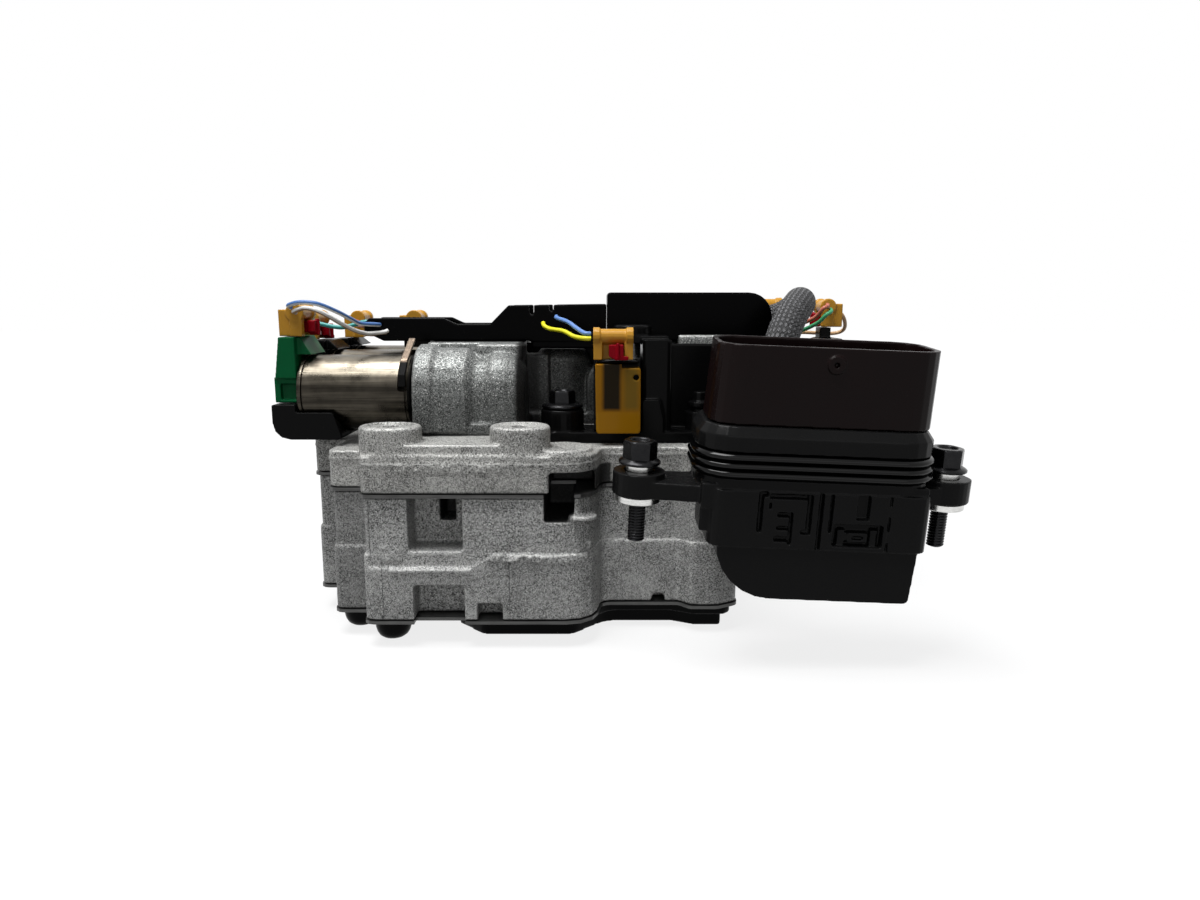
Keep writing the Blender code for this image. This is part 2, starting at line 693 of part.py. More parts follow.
def model_upper_body(material):
    slab = prism(rounded(casting_corners()), UPPER_Z, SHELF_TOP)
    deck = prism(rounded(deck_corners()), SHELF_TOP - 0.001, DECK_TOP)
    ledge = prism(
        rounded([(x, depth(y), 0.002) for x, y in (
            (BLOCK_LEFT + 0.003, 0.0008), (BOSS_XS[1] - 0.004, 0.0008),
            (BOSS_XS[1] - 0.004, 0.012), (BLOCK_LEFT + 0.003, 0.012))]),
        SHELF_TOP - 0.001, DECK_TOP - 0.0002,
    )
    boss_top = DECK_TOP + BOSS_RISE
    bosses = []
    holes = []
    middle = sum(BOSS_DEPTHS) / 2
    for x, half in zip(BOSS_XS, BOSS_HALF_WIDTHS):
        plan = rectangle((x - half, x + half), [depth(d) for d in BOSS_DEPTHS], 0.0088)
        crown = rounded(grown(plan, -0.0008), 6)
        plan = rounded(plan, 6)
        bosses.append(lofted([
            [(p[0], p[1], UPPER_Z + 0.002) for p in plan],
            [(p[0], p[1], boss_top - 0.0008) for p in plan],
            [(p[0], p[1], boss_top) for p in crown],
        ]))
        holes.append(rod(BOSS_HOLE_RADIUS, DECK_TOP - 0.006, boss_top + 0.001,
                         (x, depth(middle), 0.0), segments=20))
    shelf = turned(
        [(0, UPPER_Z + 0.003), (0.0108, UPPER_Z + 0.003), (0.0108, SHELF_TOP + 0.0018),
         (0, SHELF_TOP + 0.0018)],
        (LOBE_RIGHT - LOBE_RADIUS, depth(LOBE_RADIUS), 0.0), segments=32,
    )
    window = box(UPPER_WINDOW_X, (depth(OPEN_FRONT), depth(0.024)), (UPPER_Z - 0.001, UPPER_Z + 0.0073))
    cuts = [window, *holes]
    cuts += stack_holes(UPPER_Z - 0.001, LOWER_PLATE_Z + STACK_BOLT_REACH + 0.002,
                        STACK_BOLT_RADIUS + BOLT_CLEARANCE)
    return model("upper_valve_body", material, slab, [deck, ledge, *bosses, shelf], cuts)


def tube_section(x, y, z, radius, base, steps=10):
    """A round-topped section across X, its sides straight down from the axis to the base."""
    points = [(x, y - radius, base), (x, y + radius, base)]
    for step in range(steps + 1):
        turn = math.pi * step / steps
        points.append((x, y + radius * math.cos(turn), z + radius * math.sin(turn)))
    return points


def housing_tube(mouth, side, centre_depth, z):
    """One bank tube of the housing, from its mouth inwards; side points out of the mouth."""
    outer = CAN_RADIUS + TUBE_WALL
    stations = [
        (0.0, outer - 0.0003), (0.0010, outer + 0.0005), (0.0062, outer + 0.0005),
        (0.0080, outer - 0.0008), (0.0190, outer - 0.0010), (0.0222, outer - 0.0036),
        (0.0262, outer - 0.0038), (0.0290, outer - 0.0022), (0.0335, outer - 0.0020),
        (0.0380, outer - 0.0036), (TUBE_LENGTH, outer - 0.0085),
    ]
    y = depth(centre_depth)
    return lofted([
        tube_section(mouth - side * along, y, z + TUBE_RISE, radius, HOUSING_Z + 0.001)
        for along, radius in stations
    ])


def can_bore(mouth, side, centre_depth, z):
    """The bore that a solenoid's nose sits in."""
    start = mouth + side * 0.002
    end = mouth - side * (NOSE_LENGTH + 0.002)
    return rod(NOSE_RADIUS + GAP, min(start, end), max(start, end),
               (0.0, depth(centre_depth), z), "X")


def model_housing(material):
    top = HOUSING_Z + HOUSING_SLAB
    inner_left = LEFT_MOUTH + TUBE_LENGTH
    behind = BRACKET_BACK + 0.0014
    slab = prism(rounded([(x, depth(y), r) for x, y, r in (
        (LEFT_MOUTH, LEFT_BANK[0] - 0.0150, 0.0), (inner_left, LEFT_BANK[0] - 0.0150, 0.004),
        (inner_left, behind, 0.0), (FRONT_RIGHT - 0.003, behind, 0.003),
        (FRONT_RIGHT - 0.003, WING_DEPTH + 0.004, 0.0), (RIGHT_MOUTH, WING_DEPTH + 0.004, 0.0),
        (RIGHT_MOUTH, CASTING_DEPTH - 0.006, 0.003), (LEFT_MOUTH, CASTING_DEPTH - 0.006, 0.003))]),
        HOUSING_Z, top)
    joins = []
    cuts = []
    for centre in LEFT_BANK:
        joins.append(housing_tube(LEFT_MOUTH, -1, centre, CAN_Z))
        cuts.append(can_bore(LEFT_MOUTH, -1, centre, CAN_Z))
    right_z = CAN_Z + RIGHT_BANK_RISE
    joins.append(housing_tube(RIGHT_MOUTH, 1, RIGHT_BANK_DEPTH, right_z))
    cuts.append(can_bore(RIGHT_MOUTH, 1, RIGHT_BANK_DEPTH, right_z))
    hood_back = HOOD_DEPTH[1] - TRAY_WALL - GAP
    cuts.append(box((RIGHT_MOUTH - TUBE_LENGTH - 0.001, RIGHT_MOUTH + 0.001),
                    (depth(hood_back), depth(HOOD_DEPTH[1] + 0.002)), (BRIDGE_TOP, BRIDGE_TOP + 0.01)))
    for near, far in zip(LEFT_BANK, LEFT_BANK[1:]):
        joins.append(prism(
            rounded(rectangle((LEFT_MOUTH + 0.0012, inner_left - 0.002),
                              (depth(near + 0.008), depth(far - 0.006)), 0.003)),
            HOUSING_Z + 0.001, BRIDGE_TOP))
    joins.append(prism(
        rounded(rectangle((inner_left - PAD_LENGTH, inner_left - 0.0012),
                          (depth(LEFT_BANK[0] - 0.0030), depth(LEFT_BANK[0] + 0.0120)), 0.002)),
        CAN_Z, BRIDGE_TOP - 0.0002))
    joins.append(box((inner_left - 0.004, DOME_X - 0.005),
                     (depth(behind + 0.0010), depth(DOME_DEPTH)), (top - 0.001, BRIDGE_TOP - 0.0052)))
    ledge_front = BRACKET_BACK - LEDGE_REACH
    joins.append(box((LEDGE_X[0], LEDGE_X[1]), (depth(ledge_front), depth(behind + 0.004)),
                     (BRIDGE_TOP - 0.0070, BRIDGE_TOP)))
    joins.append(box((LEDGE_X[0], LEDGE_X[1]), (depth(ledge_front), depth(BRACKET_BACK - GAP)),
                     (BRIDGE_TOP - 0.0020, BRIDGE_TOP + LEDGE_RISE)))
    joins.append(prism(
        rounded(rectangle((0.0280, RIGHT_MOUTH - 0.002),
                          (depth(behind + 0.0016), depth(RIGHT_BANK_DEPTH - 0.004)), 0.003)),
        HOUSING_Z + 0.001, BRIDGE_TOP))
    dome_top = HOUSING_Z + DOME_RISE
    joins.append(turned(
        [(0, top - 0.001), (DOME_RADIUS, top - 0.001), (DOME_RADIUS, dome_top - 0.0040),
         (DOME_RADIUS - 0.0025, dome_top), (0, dome_top)],
        (DOME_X, depth(DOME_DEPTH), 0.0), segments=28))
    stub_x = sum(CLEAR_CAP_X) / 2
    stub_z = CAN_Z + 0.0009
    stub_front = behind + 0.0004
    joins.append(rod(STUB_RADIUS, 0.0, STUB_LENGTH, (stub_x, depth(stub_front), stub_z), "Y", 28))
    joins.append(box((stub_x - STUB_RADIUS, stub_x + STUB_RADIUS),
                     (depth(stub_front), depth(stub_front + 0.0262)), (top - 0.001, stub_z)))
    return model("solenoid_housing", material, slab, joins, cuts)


def model_can(name, material, mouth, side, centre_depth, z, slotted=False):
    """A sealed solenoid: crimped can, and the turned nose that plugs into the housing."""
    start = CAN_SEAT
    end = CAN_OUT
    profile = [
        (0, -NOSE_LENGTH), (NOSE_RADIUS - 0.001, -NOSE_LENGTH), (NOSE_RADIUS, -NOSE_LENGTH + 0.001),
        (NOSE_RADIUS, start), (CAN_RADIUS - 0.0007, start),
        (CAN_RADIUS, start + 0.0007), (CAN_RADIUS, end - 0.0009), (CAN_RADIUS - 0.0009, end),
        (0, end),
    ]
    centre = (mouth, depth(centre_depth), z)
    body = turned(profile, centre, "X", 28, flip=side)
    cuts = []
    if slotted:
        low = mouth + side * (start + 0.0013)
        high = mouth + side * (start + 0.0050)
        cuts.append(box((min(low, high), max(low, high)),
                        (depth(centre_depth - 0.018), depth(centre_depth - 0.004)),
                        (z + 0.0015, z + 0.018)))
    return model(name, material, body, cuts=cuts, smooth=not slotted)


def model_cap(name, material, mouth, side, centre_depth, z, top, stem, stalk=0.0):
    """The moulded end cap of a can, hooked over its rim, with a ledge, slots and maybe a stalk."""
    end = CAN_OUT + GAP
    y = depth(centre_depth)
    outer = mouth + side * (end + CAP_THICK)
    inner = mouth + side * end
    hook = mouth + side * (end - CAP_HOOK)
    half = CAP_HALF_WIDTH
    plate = prism([(outer, z + CAP_LEDGE), (inner, z + CAP_LEDGE), (inner, top),
                   (outer - side * 0.0020, top)], y - half, y + half, "Y")
    skirt = box(sorted((outer + side * 0.0007, inner)), (y - half + 0.0010, y + half - 0.0010),
                (z - CAP_SKIRT, z + CAP_LEDGE + 0.0004))
    foot = z + CAN_RADIUS + GAP
    saddle = prism([(inner + side * 0.0010, foot), (hook, foot), (inner - side * 0.0010, top),
                    (inner + side * 0.0010, top)],
                   y - CAP_HOOK_HALF_WIDTH, y + CAP_HOOK_HALF_WIDTH, "Y")
    joins = [skirt, saddle]
    slots = []
    if stalk:
        joins.append(box((stem - 0.0023, stem + 0.0023), (y - 0.0070, y + 0.0010),
                         (top - 0.001, top + stalk)))
    for low in (y - half, y + half - CAP_SLOT):
        slots.append(box(sorted((outer - side * 0.0015, inner - side * 0.0010)), (low, low + CAP_SLOT),
                         (z + CAP_SLOT_Z[0], z + CAP_SLOT_Z[1])))
    return model(name, material, plate, joins, slots)


def model_base(material, mouth, centre_depth, z):
    """The dark cradle below the outer end of the front left can."""
    end = CAN_OUT + GAP
    y = depth(centre_depth)
    outer = mouth - end - CRADLE_OUT
    step = outer + CRADLE_OUT
    top = z - CAP_SKIRT - GAP
    low = SHELF_TOP + CRADLE_RISE
    side_view = rounded([
        (outer, low, 0.0062), (outer + CRADLE_FOOT, low, 0.0010),
        (outer + CRADLE_FOOT - 0.0034, top - 0.0030, 0.0006), (step, top - 0.0030, 0.0),
        (step, top, 0.0), (outer, top, 0.0006),
    ])
    block = prism(side_view, y - CRADLE_FRONT, y + CRADLE_BACK, "Y")
    bed = rod(CAN_RADIUS + GAP, mouth - end, mouth, (0.0, y, z), "X", 32)
    return model("solenoid_1_base", material, block, cuts=[bed])


def model_plug(name, material, frame):
    """A lead plug in its own frame: barrel along X, legs down, block behind."""
    half = BARREL_LENGTH / 2
    barrel = rod(BARREL_RADIUS, -half, half, (0, 0, 0), "X", 16)
    joins = []
    for end in (-1, 1):
        low = end * half - (COLLAR_WIDTH if end > 0 else 0.0)
        joins.append(rod(COLLAR_RADIUS, low - 0.0001 * (end < 0), low + COLLAR_WIDTH + 0.0001 * (end > 0),
                         (0, 0, 0), "X", 16, phase=math.pi / 16))
        joins.append(box(sorted((end * half, end * (half - LEG_WIDTH))), (-0.0024, 0.0020),
                         (-PLUG_DROP, -0.0004)))
    joins.append(box((-half + 0.0006, half - 0.0006), (0.0004, PLUG_BACK), (-PLUG_DROP, 0.0012)))
    return model(name, material, barrel, joins, parent=frame)


def model_lock(name, material, frame):
    """The sliding lock of a plug: a grip plate with a rib, and a tongue between the legs."""
    lock_frame = new_empty(f"{name}_slide", (0.0015, -0.0040, -PLUG_DROP / 2 - 0.0010))
    lock_frame.parent = frame
    front = (-0.0024 - GAP - 0.0028 + 0.0040, -0.0024 - GAP + 0.0040)
    plate = prism(
        rounded([(-0.0032, 0.0024, 0.0004), (-0.0032, -0.0018, 0.0004), (-0.0006, -0.0032, 0.0),
                 (0.0040, -0.0032, 0.0004), (0.0040, -0.0018, 0.0), (0.0022, -0.0018, 0.0),
                 (0.0022, 0.0024, 0.0004)], 2),
        *front, "Y")
    rib = box((-0.0004, 0.0006), (front[0] - 0.0008, front[0] + 0.0010), (-0.0031, 0.0030))
    tongue = box((-0.0024, 0.0022), (front[1] - 0.001, 0.0040 + 0.0004 - GAP), (-0.0020, 0.0020))
    return model(name, material, plate, [rib, tongue], parent=lock_frame)


def model_strap(material, mouth, centre_depth, z):
    """The sheet-steel retainer that leans out of the can's slot."""
    y = depth(centre_depth)
    centre_x = mouth - CAN_SEAT - 0.0031
    half = 0.0013
    thick = 0.0012
    stations = (
        (-0.0136, 0.0032, -1.0, 0.1, 0.0), (-0.0135, 0.0072, -0.95, 0.3, 0.0),
        (-0.0104, 0.0124, -0.70, 0.71, 0.0005), (0.0010, 0.0194, -0.50, 0.87, 0.0012),
    )
    sections = []
    for along, rise, ny, nz, shift in stations:
        py = y + along
        pz = z + rise
        sections.append([
            (centre_x - half + shift, py, pz), (centre_x + half + shift, py, pz),
            (centre_x + half + shift, py + ny * thick, pz + nz * thick),
            (centre_x - half + shift, py + ny * thick, pz + nz * thick),
        ])
    return model("solenoid_1_retainer", material, lofted(sections))


def plug_place(mouth, side, centre_depth, z, cap_rise, shift=0.0):
    """Where the middle of a bank solenoid's lead plug sits, on the cap."""
    x = mouth + side * (CAN_OUT + shift)
    return x, depth(centre_depth - 0.0030), z + CAN_RADIUS + cap_rise + GAP + PLUG_DROP


def model_bank_solenoid(number, paints, mouth, side, centre_depth, z, cap_rise, shift=0.0, stalk=0.0):
    """Can, cap, plug and lock of one solenoid of the two banks."""
    name = f"solenoid_{number}"
    model_can(f"{name}_can", paints["can"], mouth, side, centre_depth, z, number == 1)
    place = plug_place(mouth, side, centre_depth, z, cap_rise + stalk, shift)
    model_cap(f"{name}_cap", paints["cap"], mouth, side, centre_depth, z, z + CAN_RADIUS + cap_rise,
              place[0], stalk)
    frame = new_empty(f"{name}_plug_frame", place, (0.0, 0.0, -90.0 * side))
    model_plug(f"{name}_plug", paints["plug"], frame)
    model_lock(f"{name}_lock", paints["lock"], frame)


def front_cap_levels():
    """Bottom and top of the clear cap of the front solenoid."""
    base = SHELF_TOP + BRACKET_PLATE + 2 * GAP + 0.0002
    return base, base + CLEAR_CAP_HEIGHT


def front_plug_place():
    """Where the middle of the front solenoid's lead plug sits, on the coil's neck."""
    x = sum(CLEAR_CAP_X) / 2 - 0.0017
    return x, depth(CLEAR_CAP_FRONT + 0.0042), front_cap_levels()[1] + COIL_NECK + GAP + PLUG_DROP


def model_front_solenoid(paints):
    """The upright solenoid with the clear amber cap, its coil and its plug."""
    x0, x1 = CLEAR_CAP_X
    base, top = front_cap_levels()
    front = depth(CLEAR_CAP_FRONT)
    back = front + CLEAR_CAP_THICK
    cap = prism(rounded([(x0 + 0.0004, base, 0.0010), (x1, base, 0.0010), (x1, top - 0.0016, 0.0006),
                         (x1 - 0.0070, top - 0.0016, 0.0), (x1 - 0.0070, top, 0.0), (x0, top, 0.0006)]),
                front, back, "Y")
    hole = rod(0.0011, front - 0.001, back + 0.001, (x1 - 0.0017, 0.0, top - 0.0050), "Y", 12)
    model("front_solenoid_cap", paints["clear"], cap, cuts=[hole])
    coil_back = depth(BRACKET_BACK) - 0.0012
    coil = box((x0 - 0.0006, x1 + 0.0005), (back + GAP, coil_back), (base, top + 0.0012))
    neck = box((x0 + 0.0004, x1 - 0.0010), (front + 0.0021, coil_back - 0.004),
               (top + GAP, top + COIL_NECK))
    model("front_solenoid_coil", paints["coil"], coil, [neck])
    frame = new_empty("front_solenoid_plug_frame", front_plug_place())
    model_plug("front_solenoid_plug", paints["plug"], frame)
    model_lock("front_solenoid_lock", paints["lock"], frame)


def model_bracket(material):
    """The dark moulding on the shelf: foot plate, bolt collar, side block and top cover."""
    x0, x1 = BRACKET_X
    low = SHELF_TOP + GAP
    plate_top = low + BRACKET_PLATE
    plate = prism(rounded([(x, depth(y), r) for x, y, r in (
        (x0, BRACKET_FRONT, 0.002), (x1, BRACKET_FRONT, 0.002), (x1, BRACKET_BACK, 0.0),
        (x0, BRACKET_BACK, 0.0))]), low, plate_top)
    collar = turned(
        [(0, low + 0.001), (COLLAR_BOSS_RADIUS, low + 0.001),
         (COLLAR_BOSS_RADIUS, COLLAR_BOSS_TOP - 0.0006), (COLLAR_BOSS_RADIUS - 0.0006, COLLAR_BOSS_TOP),
         (0, COLLAR_BOSS_TOP)], (COLLAR_X, depth(COLLAR_DEPTH), 0.0), segments=28)
    block_x = (CLEAR_CAP_X[1] + 0.0010, CLEAR_CAP_X[1] + 0.0010 + BRACKET_BLOCK_WIDTH)
    block_y = (depth(BRACKET_BLOCK_FRONT), depth(BRACKET_BACK))
    block = prism(rounded(rectangle(block_x, block_y, 0.0015)), plate_top - 0.001, BRACKET_TOP)
    lug = prism(rounded([(block_x[0], plate_top - 0.001, 0.0),
                         (block_x[1] - 0.0030, plate_top - 0.001, 0.0),
                         (block_x[1] - 0.0030, plate_top + 0.0060, 0.001),
                         (block_x[1] - 0.0045, plate_top + 0.0125, 0.001),
                         (block_x[0], plate_top + 0.0125, 0.001)]),
                depth(BRACKET_FRONT), depth(BRACKET_BLOCK_FRONT + 0.0010), "Y")
    cover = box((CLEAR_CAP_X[0] + 0.0040, block_x[1] - 0.001),
                (depth(BRACKET_BLOCK_FRONT + 0.0050), depth(BRACKET_BACK)),
                (BRACKET_TOP - 0.0016, BRACKET_TOP + 0.0012))
    wall_back = BRACKET_BACK - LEDGE_REACH - 2 * GAP
    wall = box((block_x[1] - 0.002, x1), (depth(wall_back - WALL_THICK), depth(wall_back)),
               (plate_top - 0.001, WALL_TOP))
    stud = turned(
        [(0, plate_top - 0.001), (STUD_RADIUS + 0.001, plate_top - 0.001),
         (STUD_RADIUS + 0.001, plate_top + STUD_RISE * 0.5),
         (STUD_RADIUS - 0.001, plate_top + STUD_RISE * 0.5),
         (STUD_RADIUS - 0.001, plate_top + STUD_RISE * 0.62), (STUD_RADIUS, plate_top + STUD_RISE * 0.62),
         (STUD_RADIUS, plate_top + STUD_RISE * 0.75), (STUD_RADIUS - 0.002, plate_top + STUD_RISE * 0.75),
         (STUD_RADIUS - 0.002, plate_top + STUD_RISE), (0, plate_top + STUD_RISE)],
        (STUD_X, depth(STUD_DEPTH), 0.0), segments=20)
    disc = turned(
        [(0, BRACKET_TOP), (BRACKET_DISC_RADIUS, BRACKET_TOP), (BRACKET_DISC_RADIUS, BRACKET_TOP + 0.0047),
         (BRACKET_DISC_RADIUS - 0.0009, BRACKET_TOP + 0.0054), (0, BRACKET_TOP + 0.0054)],
        (BRACKET_DISC_X, depth(BRACKET_DISC_DEPTH), 0.0), segments=28)
    hole = rod(BOSS_HOLE_RADIUS + 0.0002, low - 0.001, COLLAR_BOSS_TOP + 0.001,
               (COLLAR_X, depth(COLLAR_DEPTH), 0.0), segments=16)
    return model("front_bracket", material, plate, [collar, block, lug, cover, disc, wall, stud], [hole])


def flange_bolt(name, material, centre, top, flange_z, tip, flange_radius, hex_radius, parent=None):
    """An M6 hexagon flange bolt along Z; the heights are measured from its centre point."""
    profile = [
        (0, tip), (M6_RADIUS - 0.0006, tip), (M6_RADIUS, tip + 0.0008),
        (M6_RADIUS, flange_z), (flange_radius, flange_z), (flange_radius, flange_z + 0.0010),
        (flange_radius - 0.0012, flange_z + 0.0018), (0, flange_z + 0.0022),
    ]
    body = turned(profile, centre, segments=18)
    corner = hex_radius / math.cos(math.pi / 6)
    head = turned(
        [(0, flange_z + 0.001), (corner, flange_z + 0.001), (corner, top - 0.0006),
         (hex_radius - 0.0001, top), (hex_radius - 0.0012, top), (hex_radius - 0.0017, top - 0.0007),
         (0, top - 0.0007)],
        centre, segments=6)
    return model(name, material, body, [head], parent=parent)


def model_stack_bolts(material):
    for number, (x, y) in enumerate(STACK_BOLTS, start=1):
        seat = LOWER_PLATE_Z - GAP
        head = STACK_BOLT_HEAD
        low = GAP
        profile = [
            (0, low), (head * 0.55, low), (head * 0.82, low + 0.0012), (head * 0.97, low + 0.0035),
            (head, low + 0.0056), (head, seat), (STACK_BOLT_RADIUS, seat),
            (STACK_BOLT_RADIUS, seat + STACK_BOLT_REACH), (0, seat + STACK_BOLT_REACH),
        ]
        body = turned(profile, (x, depth(y), 0.0), segments=16)
        model(f"stack_bolt_{number}", material, body, smooth=True)


def tray_outline(inset=0.0):
    left, right = TRAY_ENDS
    corners = [
        (left, TRAY_FLOOR + 0.0036, 0.001), (left + 0.0075, TRAY_FLOOR, 0.001), (right, TRAY_FLOOR, 0.0),
        (right, HOOD_TOP - 0.0045, 0.0), (right - 0.0387, HOOD_TOP - 0.0050, 0.001),
        (right - 0.0460, TRAY_FLOOR + TRAY_DIP_WALL, 0.001),
        (right - 0.0595, TRAY_FLOOR + TRAY_DIP_WALL, 0.002),
        (right - 0.0645, TRAY_FLOOR + TRAY_LOW_WALL, 0.002),
        (left + 0.0020, TRAY_FLOOR + TRAY_LOW_WALL, 0.001), (left, TRAY_FLOOR + 0.0070, 0.001),
    ]
    return grown(corners, -inset) if inset else corners


def model_tray(material):
    """The open channel that carries the leads across the top."""
    near, far = depth(TRAY_DEPTH[0]), depth(TRAY_DEPTH[1])
    wall = TRAY_WALL
    shell = prism(rounded(tray_outline(), 3), near, far, "Y")
    left, right = TRAY_ENDS
    trough = prism([
        (left - 0.001, TRAY_FLOOR + 0.0036 + wall), (left, TRAY_FLOOR + 0.0036 + wall),
        (left + 0.0075, TRAY_FLOOR + wall),
        (right - wall, TRAY_FLOOR + wall), (right - wall, HOOD_TOP), (left - 0.001, HOOD_TOP),
    ], near + wall, far - wall, "Y")
    notches = [
        box((right - inset, right - inset + width), (near - 0.001, far + 0.001),
            (HOOD_TOP - 0.0050 - drop, HOOD_TOP))
        for inset, width, drop in ((0.0303, 0.0017, 0.0037), (0.0222, 0.0013, 0.0023))
    ]
    skirt = box((LEFT_MOUTH + TUBE_LENGTH + 0.0006, right - 0.0005), (near + GAP, near + GAP + wall),
                (TRAY_FLOOR - TRAY_SKIRT, TRAY_FLOOR + 0.001))
    return model("harness_tray", material, shell, [skirt], [trough, *notches])


def model_hood(material):
    """The raised cover over the right end of the tray, open below, with a rounded shoulder."""
    near, far = depth(HOOD_DEPTH[0]), depth(HOOD_DEPTH[1])
    left, right = HOOD_ENDS
    wall = TRAY_WALL
    low = TRAY_FLOOR
    outline = [(left, low, 0.0), (right, low, 0.0), (right, HOOD_TOP, HOOD_SHOULDER),
               (left, HOOD_TOP, 0.0012)]
    shell = prism(rounded(outline, 6), near, far, "Y")
    inner = [(left + wall, low - 0.01, 0.0), (right - wall, low - 0.01, 0.0),
             (right - wall, HOOD_TOP - wall, HOOD_SHOULDER - wall), (left + wall, HOOD_TOP - wall, 0.0)]
    hollow = prism(rounded(inner, 6), near + wall, far - wall, "Y")
    mouth = rod(SLEEVE_RADIUS + GAP, right - 0.004, right + 0.002,
                (0.0, depth(SLEEVE_ENTRY[1]), SLEEVE_ENTRY[2]), "X", 16)
    return model("tray_hood", material, shell, cuts=[hollow, mouth])


def ear_place(side):
    """Middle of a bolt ear of the connector, and the height of its underside."""
    right = side > 0
    low = EAR_TOP - EAR_THICKNESS + (RIGHT_EAR_RISE if right else 0.0)
    return side * BOLT_SPACING / 2, RIGHT_EAR_BACK if right else 0.0, low


def model_connector(paints):
    """The oblong harness connector, hung from its braided lead."""
    frame = new_empty("connector_frame", (CONNECTOR_X, depth(CONNECTOR_DEPTH), CONNECTOR_Z),
                      (CONNECTOR_LEAN, CONNECTOR_ROLL, 0.0))
    x0, x1 = SHROUD_X
    y0, y1 = SHROUD_Y
    plan = rectangle(SHROUD_X, SHROUD_Y, SHROUD_CORNER)
    shroud_base = LIP_Z[1] + GAP
    shroud_top = shroud_base + SHROUD_HEIGHT
    foot = grown(plan, -0.0002)
    outer_low = rounded(foot, 5)
    top_plan = rectangle((x0 + SHROUD_DRAFT, x1), SHROUD_Y, SHROUD_CORNER)
    outer_high = rounded(top_plan, 5)
    walls = lofted([[(p[0], p[1], shroud_base) for p in outer_low],
                    [(p[0], p[1], shroud_top) for p in outer_high]])
    cavity_floor = shroud_base + 0.0024
    cavity = prism(rounded(grown(top_plan, -SHROUD_WALL), 5), cavity_floor, shroud_top + 0.002)
    boss_place = (0.0072, 0.0, shroud_top - 0.0052)
    boss = rod(0.0029, y0 - 0.0009, y0 + 0.001, boss_place, "Y", 20)
    boss_hole = rod(0.0009, y0 - 0.002, y0 + 0.0006, boss_place, "Y", 10)
    pins = []
    for row in range(PIN_ROWS):
        for column in range(PIN_COUNT):
            px = x0 + 0.0105 + (x1 - x0 - 0.0195) * column / (PIN_COUNT - 1)
            py = y0 + 0.0075 + (y1 - y0 - 0.0150) * row / (PIN_ROWS - 1)
            pins.append(box((px - PIN_WIDTH / 2, px + PIN_WIDTH / 2),
                            (py - PIN_THICKNESS / 2, py + PIN_THICKNESS / 2),
                            (cavity_floor - 0.0004, cavity_floor - 0.0004 + PIN_HEIGHT)))
    shroud = model("connector_shroud", paints["shroud"], walls, [boss], [cavity, boss_hole], frame)
    join_after(shroud, pins, frame)

    rim_plan = rectangle((x0, x1 - RIM_SHORT), SHROUD_Y, SHROUD_CORNER)
    lip = rounded(grown(rim_plan, LIP_MARGIN), 5)
    lip_top = rounded(grown(rim_plan, LIP_MARGIN - LIP_BEVEL), 5)
    waist = rounded(grown(rim_plan, WAIST_MARGIN), 5)
    shoulder = rounded(grown(rim_plan, LIP_MARGIN - 0.0006), 5)
    rim = lofted([
        [(p[0], p[1], SEAL_Z[0] - 0.0010) for p in waist],
        [(p[0], p[1], LIP_Z[0]) for p in waist],
        [(p[0], p[1], LIP_Z[0]) for p in lip],
        [(p[0], p[1], LIP_Z[1] - 0.0030) for p in lip],
        [(p[0], p[1], LIP_Z[1]) for p in lip_top],
    ])
    skirt = prism(shoulder, *SHOULDER_Z)
    block = prism(rounded(rectangle((x0 + 0.0015, x1 + 0.0005), (y0 - BLOCK_PROUD, y1), 0.0045), 4),
                  BLOCK_BOTTOM, SHOULDER_Z[0] + 0.001)
    bulb = prism(
        rounded([(x0 + 0.0047, BULB_BOTTOM, 0.0190), (x1 - 0.0035, BULB_BOTTOM, 0.0020),
                 (x1 - 0.0010, SHOULDER_Z[1] - 0.001, 0.0), (x0 + 0.0047, SHOULDER_Z[1] - 0.001, 0.0)], 6),
        y0 - 0.0018, y1 - 0.0010, "Y")
    joins = [skirt, block, bulb]
    cuts = []
    for side in (-1, 1):
        ear_x, ear_y, ear_low = ear_place(side)
        ear_top = ear_low + EAR_THICKNESS
        inner_x = x0 + 0.004 if side < 0 else x1 - 0.004
        joins.append(rod(EAR_RADIUS, ear_low, ear_top, (ear_x, ear_y, 0.0), "Z", 28))
        arm = [(ear_x, ear_y - EAR_RADIUS + 0.0012), (inner_x, ear_y - EAR_RADIUS - 0.0012),
               (inner_x, ear_y + EAR_RADIUS + 0.001), (ear_x, ear_y + EAR_RADIUS - 0.0012)]
        joins.append(prism(arm, ear_low, min(ear_top - 0.0022, SHOULDER_Z[1] - 0.0005)))
        cuts.append(rod(M6_RADIUS + BUSH_WALL + GAP, ear_low - 0.002, ear_top + 0.002,
                        (ear_x, ear_y, 0.0), "Z", 20))
    seal_right = x1 - RIM_SHORT + WAIST_MARGIN + GAP + SEAL_BASE + SEAL_PROUD
    cuts.append(box((x1 - RIM_SHORT + WAIST_MARGIN + 0.0001, seal_right + GAP),
                    (RIGHT_EAR_BACK - EAR_RADIUS, RIGHT_EAR_BACK + EAR_RADIUS), (SHOULDER_Z[1], SEAL_Z[1])))
    front = y0 - BLOCK_PROUD
    cuts += [
        box((-0.0130, -0.0116), (front - 0.001, front + 0.0022), (-0.0135, -0.0022)),
        box((0.0010, 0.0024), (front - 0.001, front + 0.0022), (-0.0140, -0.0022)),
        box((-0.0075, -0.0030), (front - 0.001, front + 0.0012), (-0.0150, -0.0050)),
        box((0.0070, 0.0080), (front - 0.001, front + 0.0022), (-0.0175, -0.0022)),
        box((0.0085, 0.0265), (front - 0.001, front + 0.0030), (-0.0175, -0.0095)),
        box((0.0160, 0.0180), (front - 0.001, front + 0.0026), (-0.0100, -0.0022)),
    ]
    model("connector_body", paints["body"], rim, joins, cuts, frame)

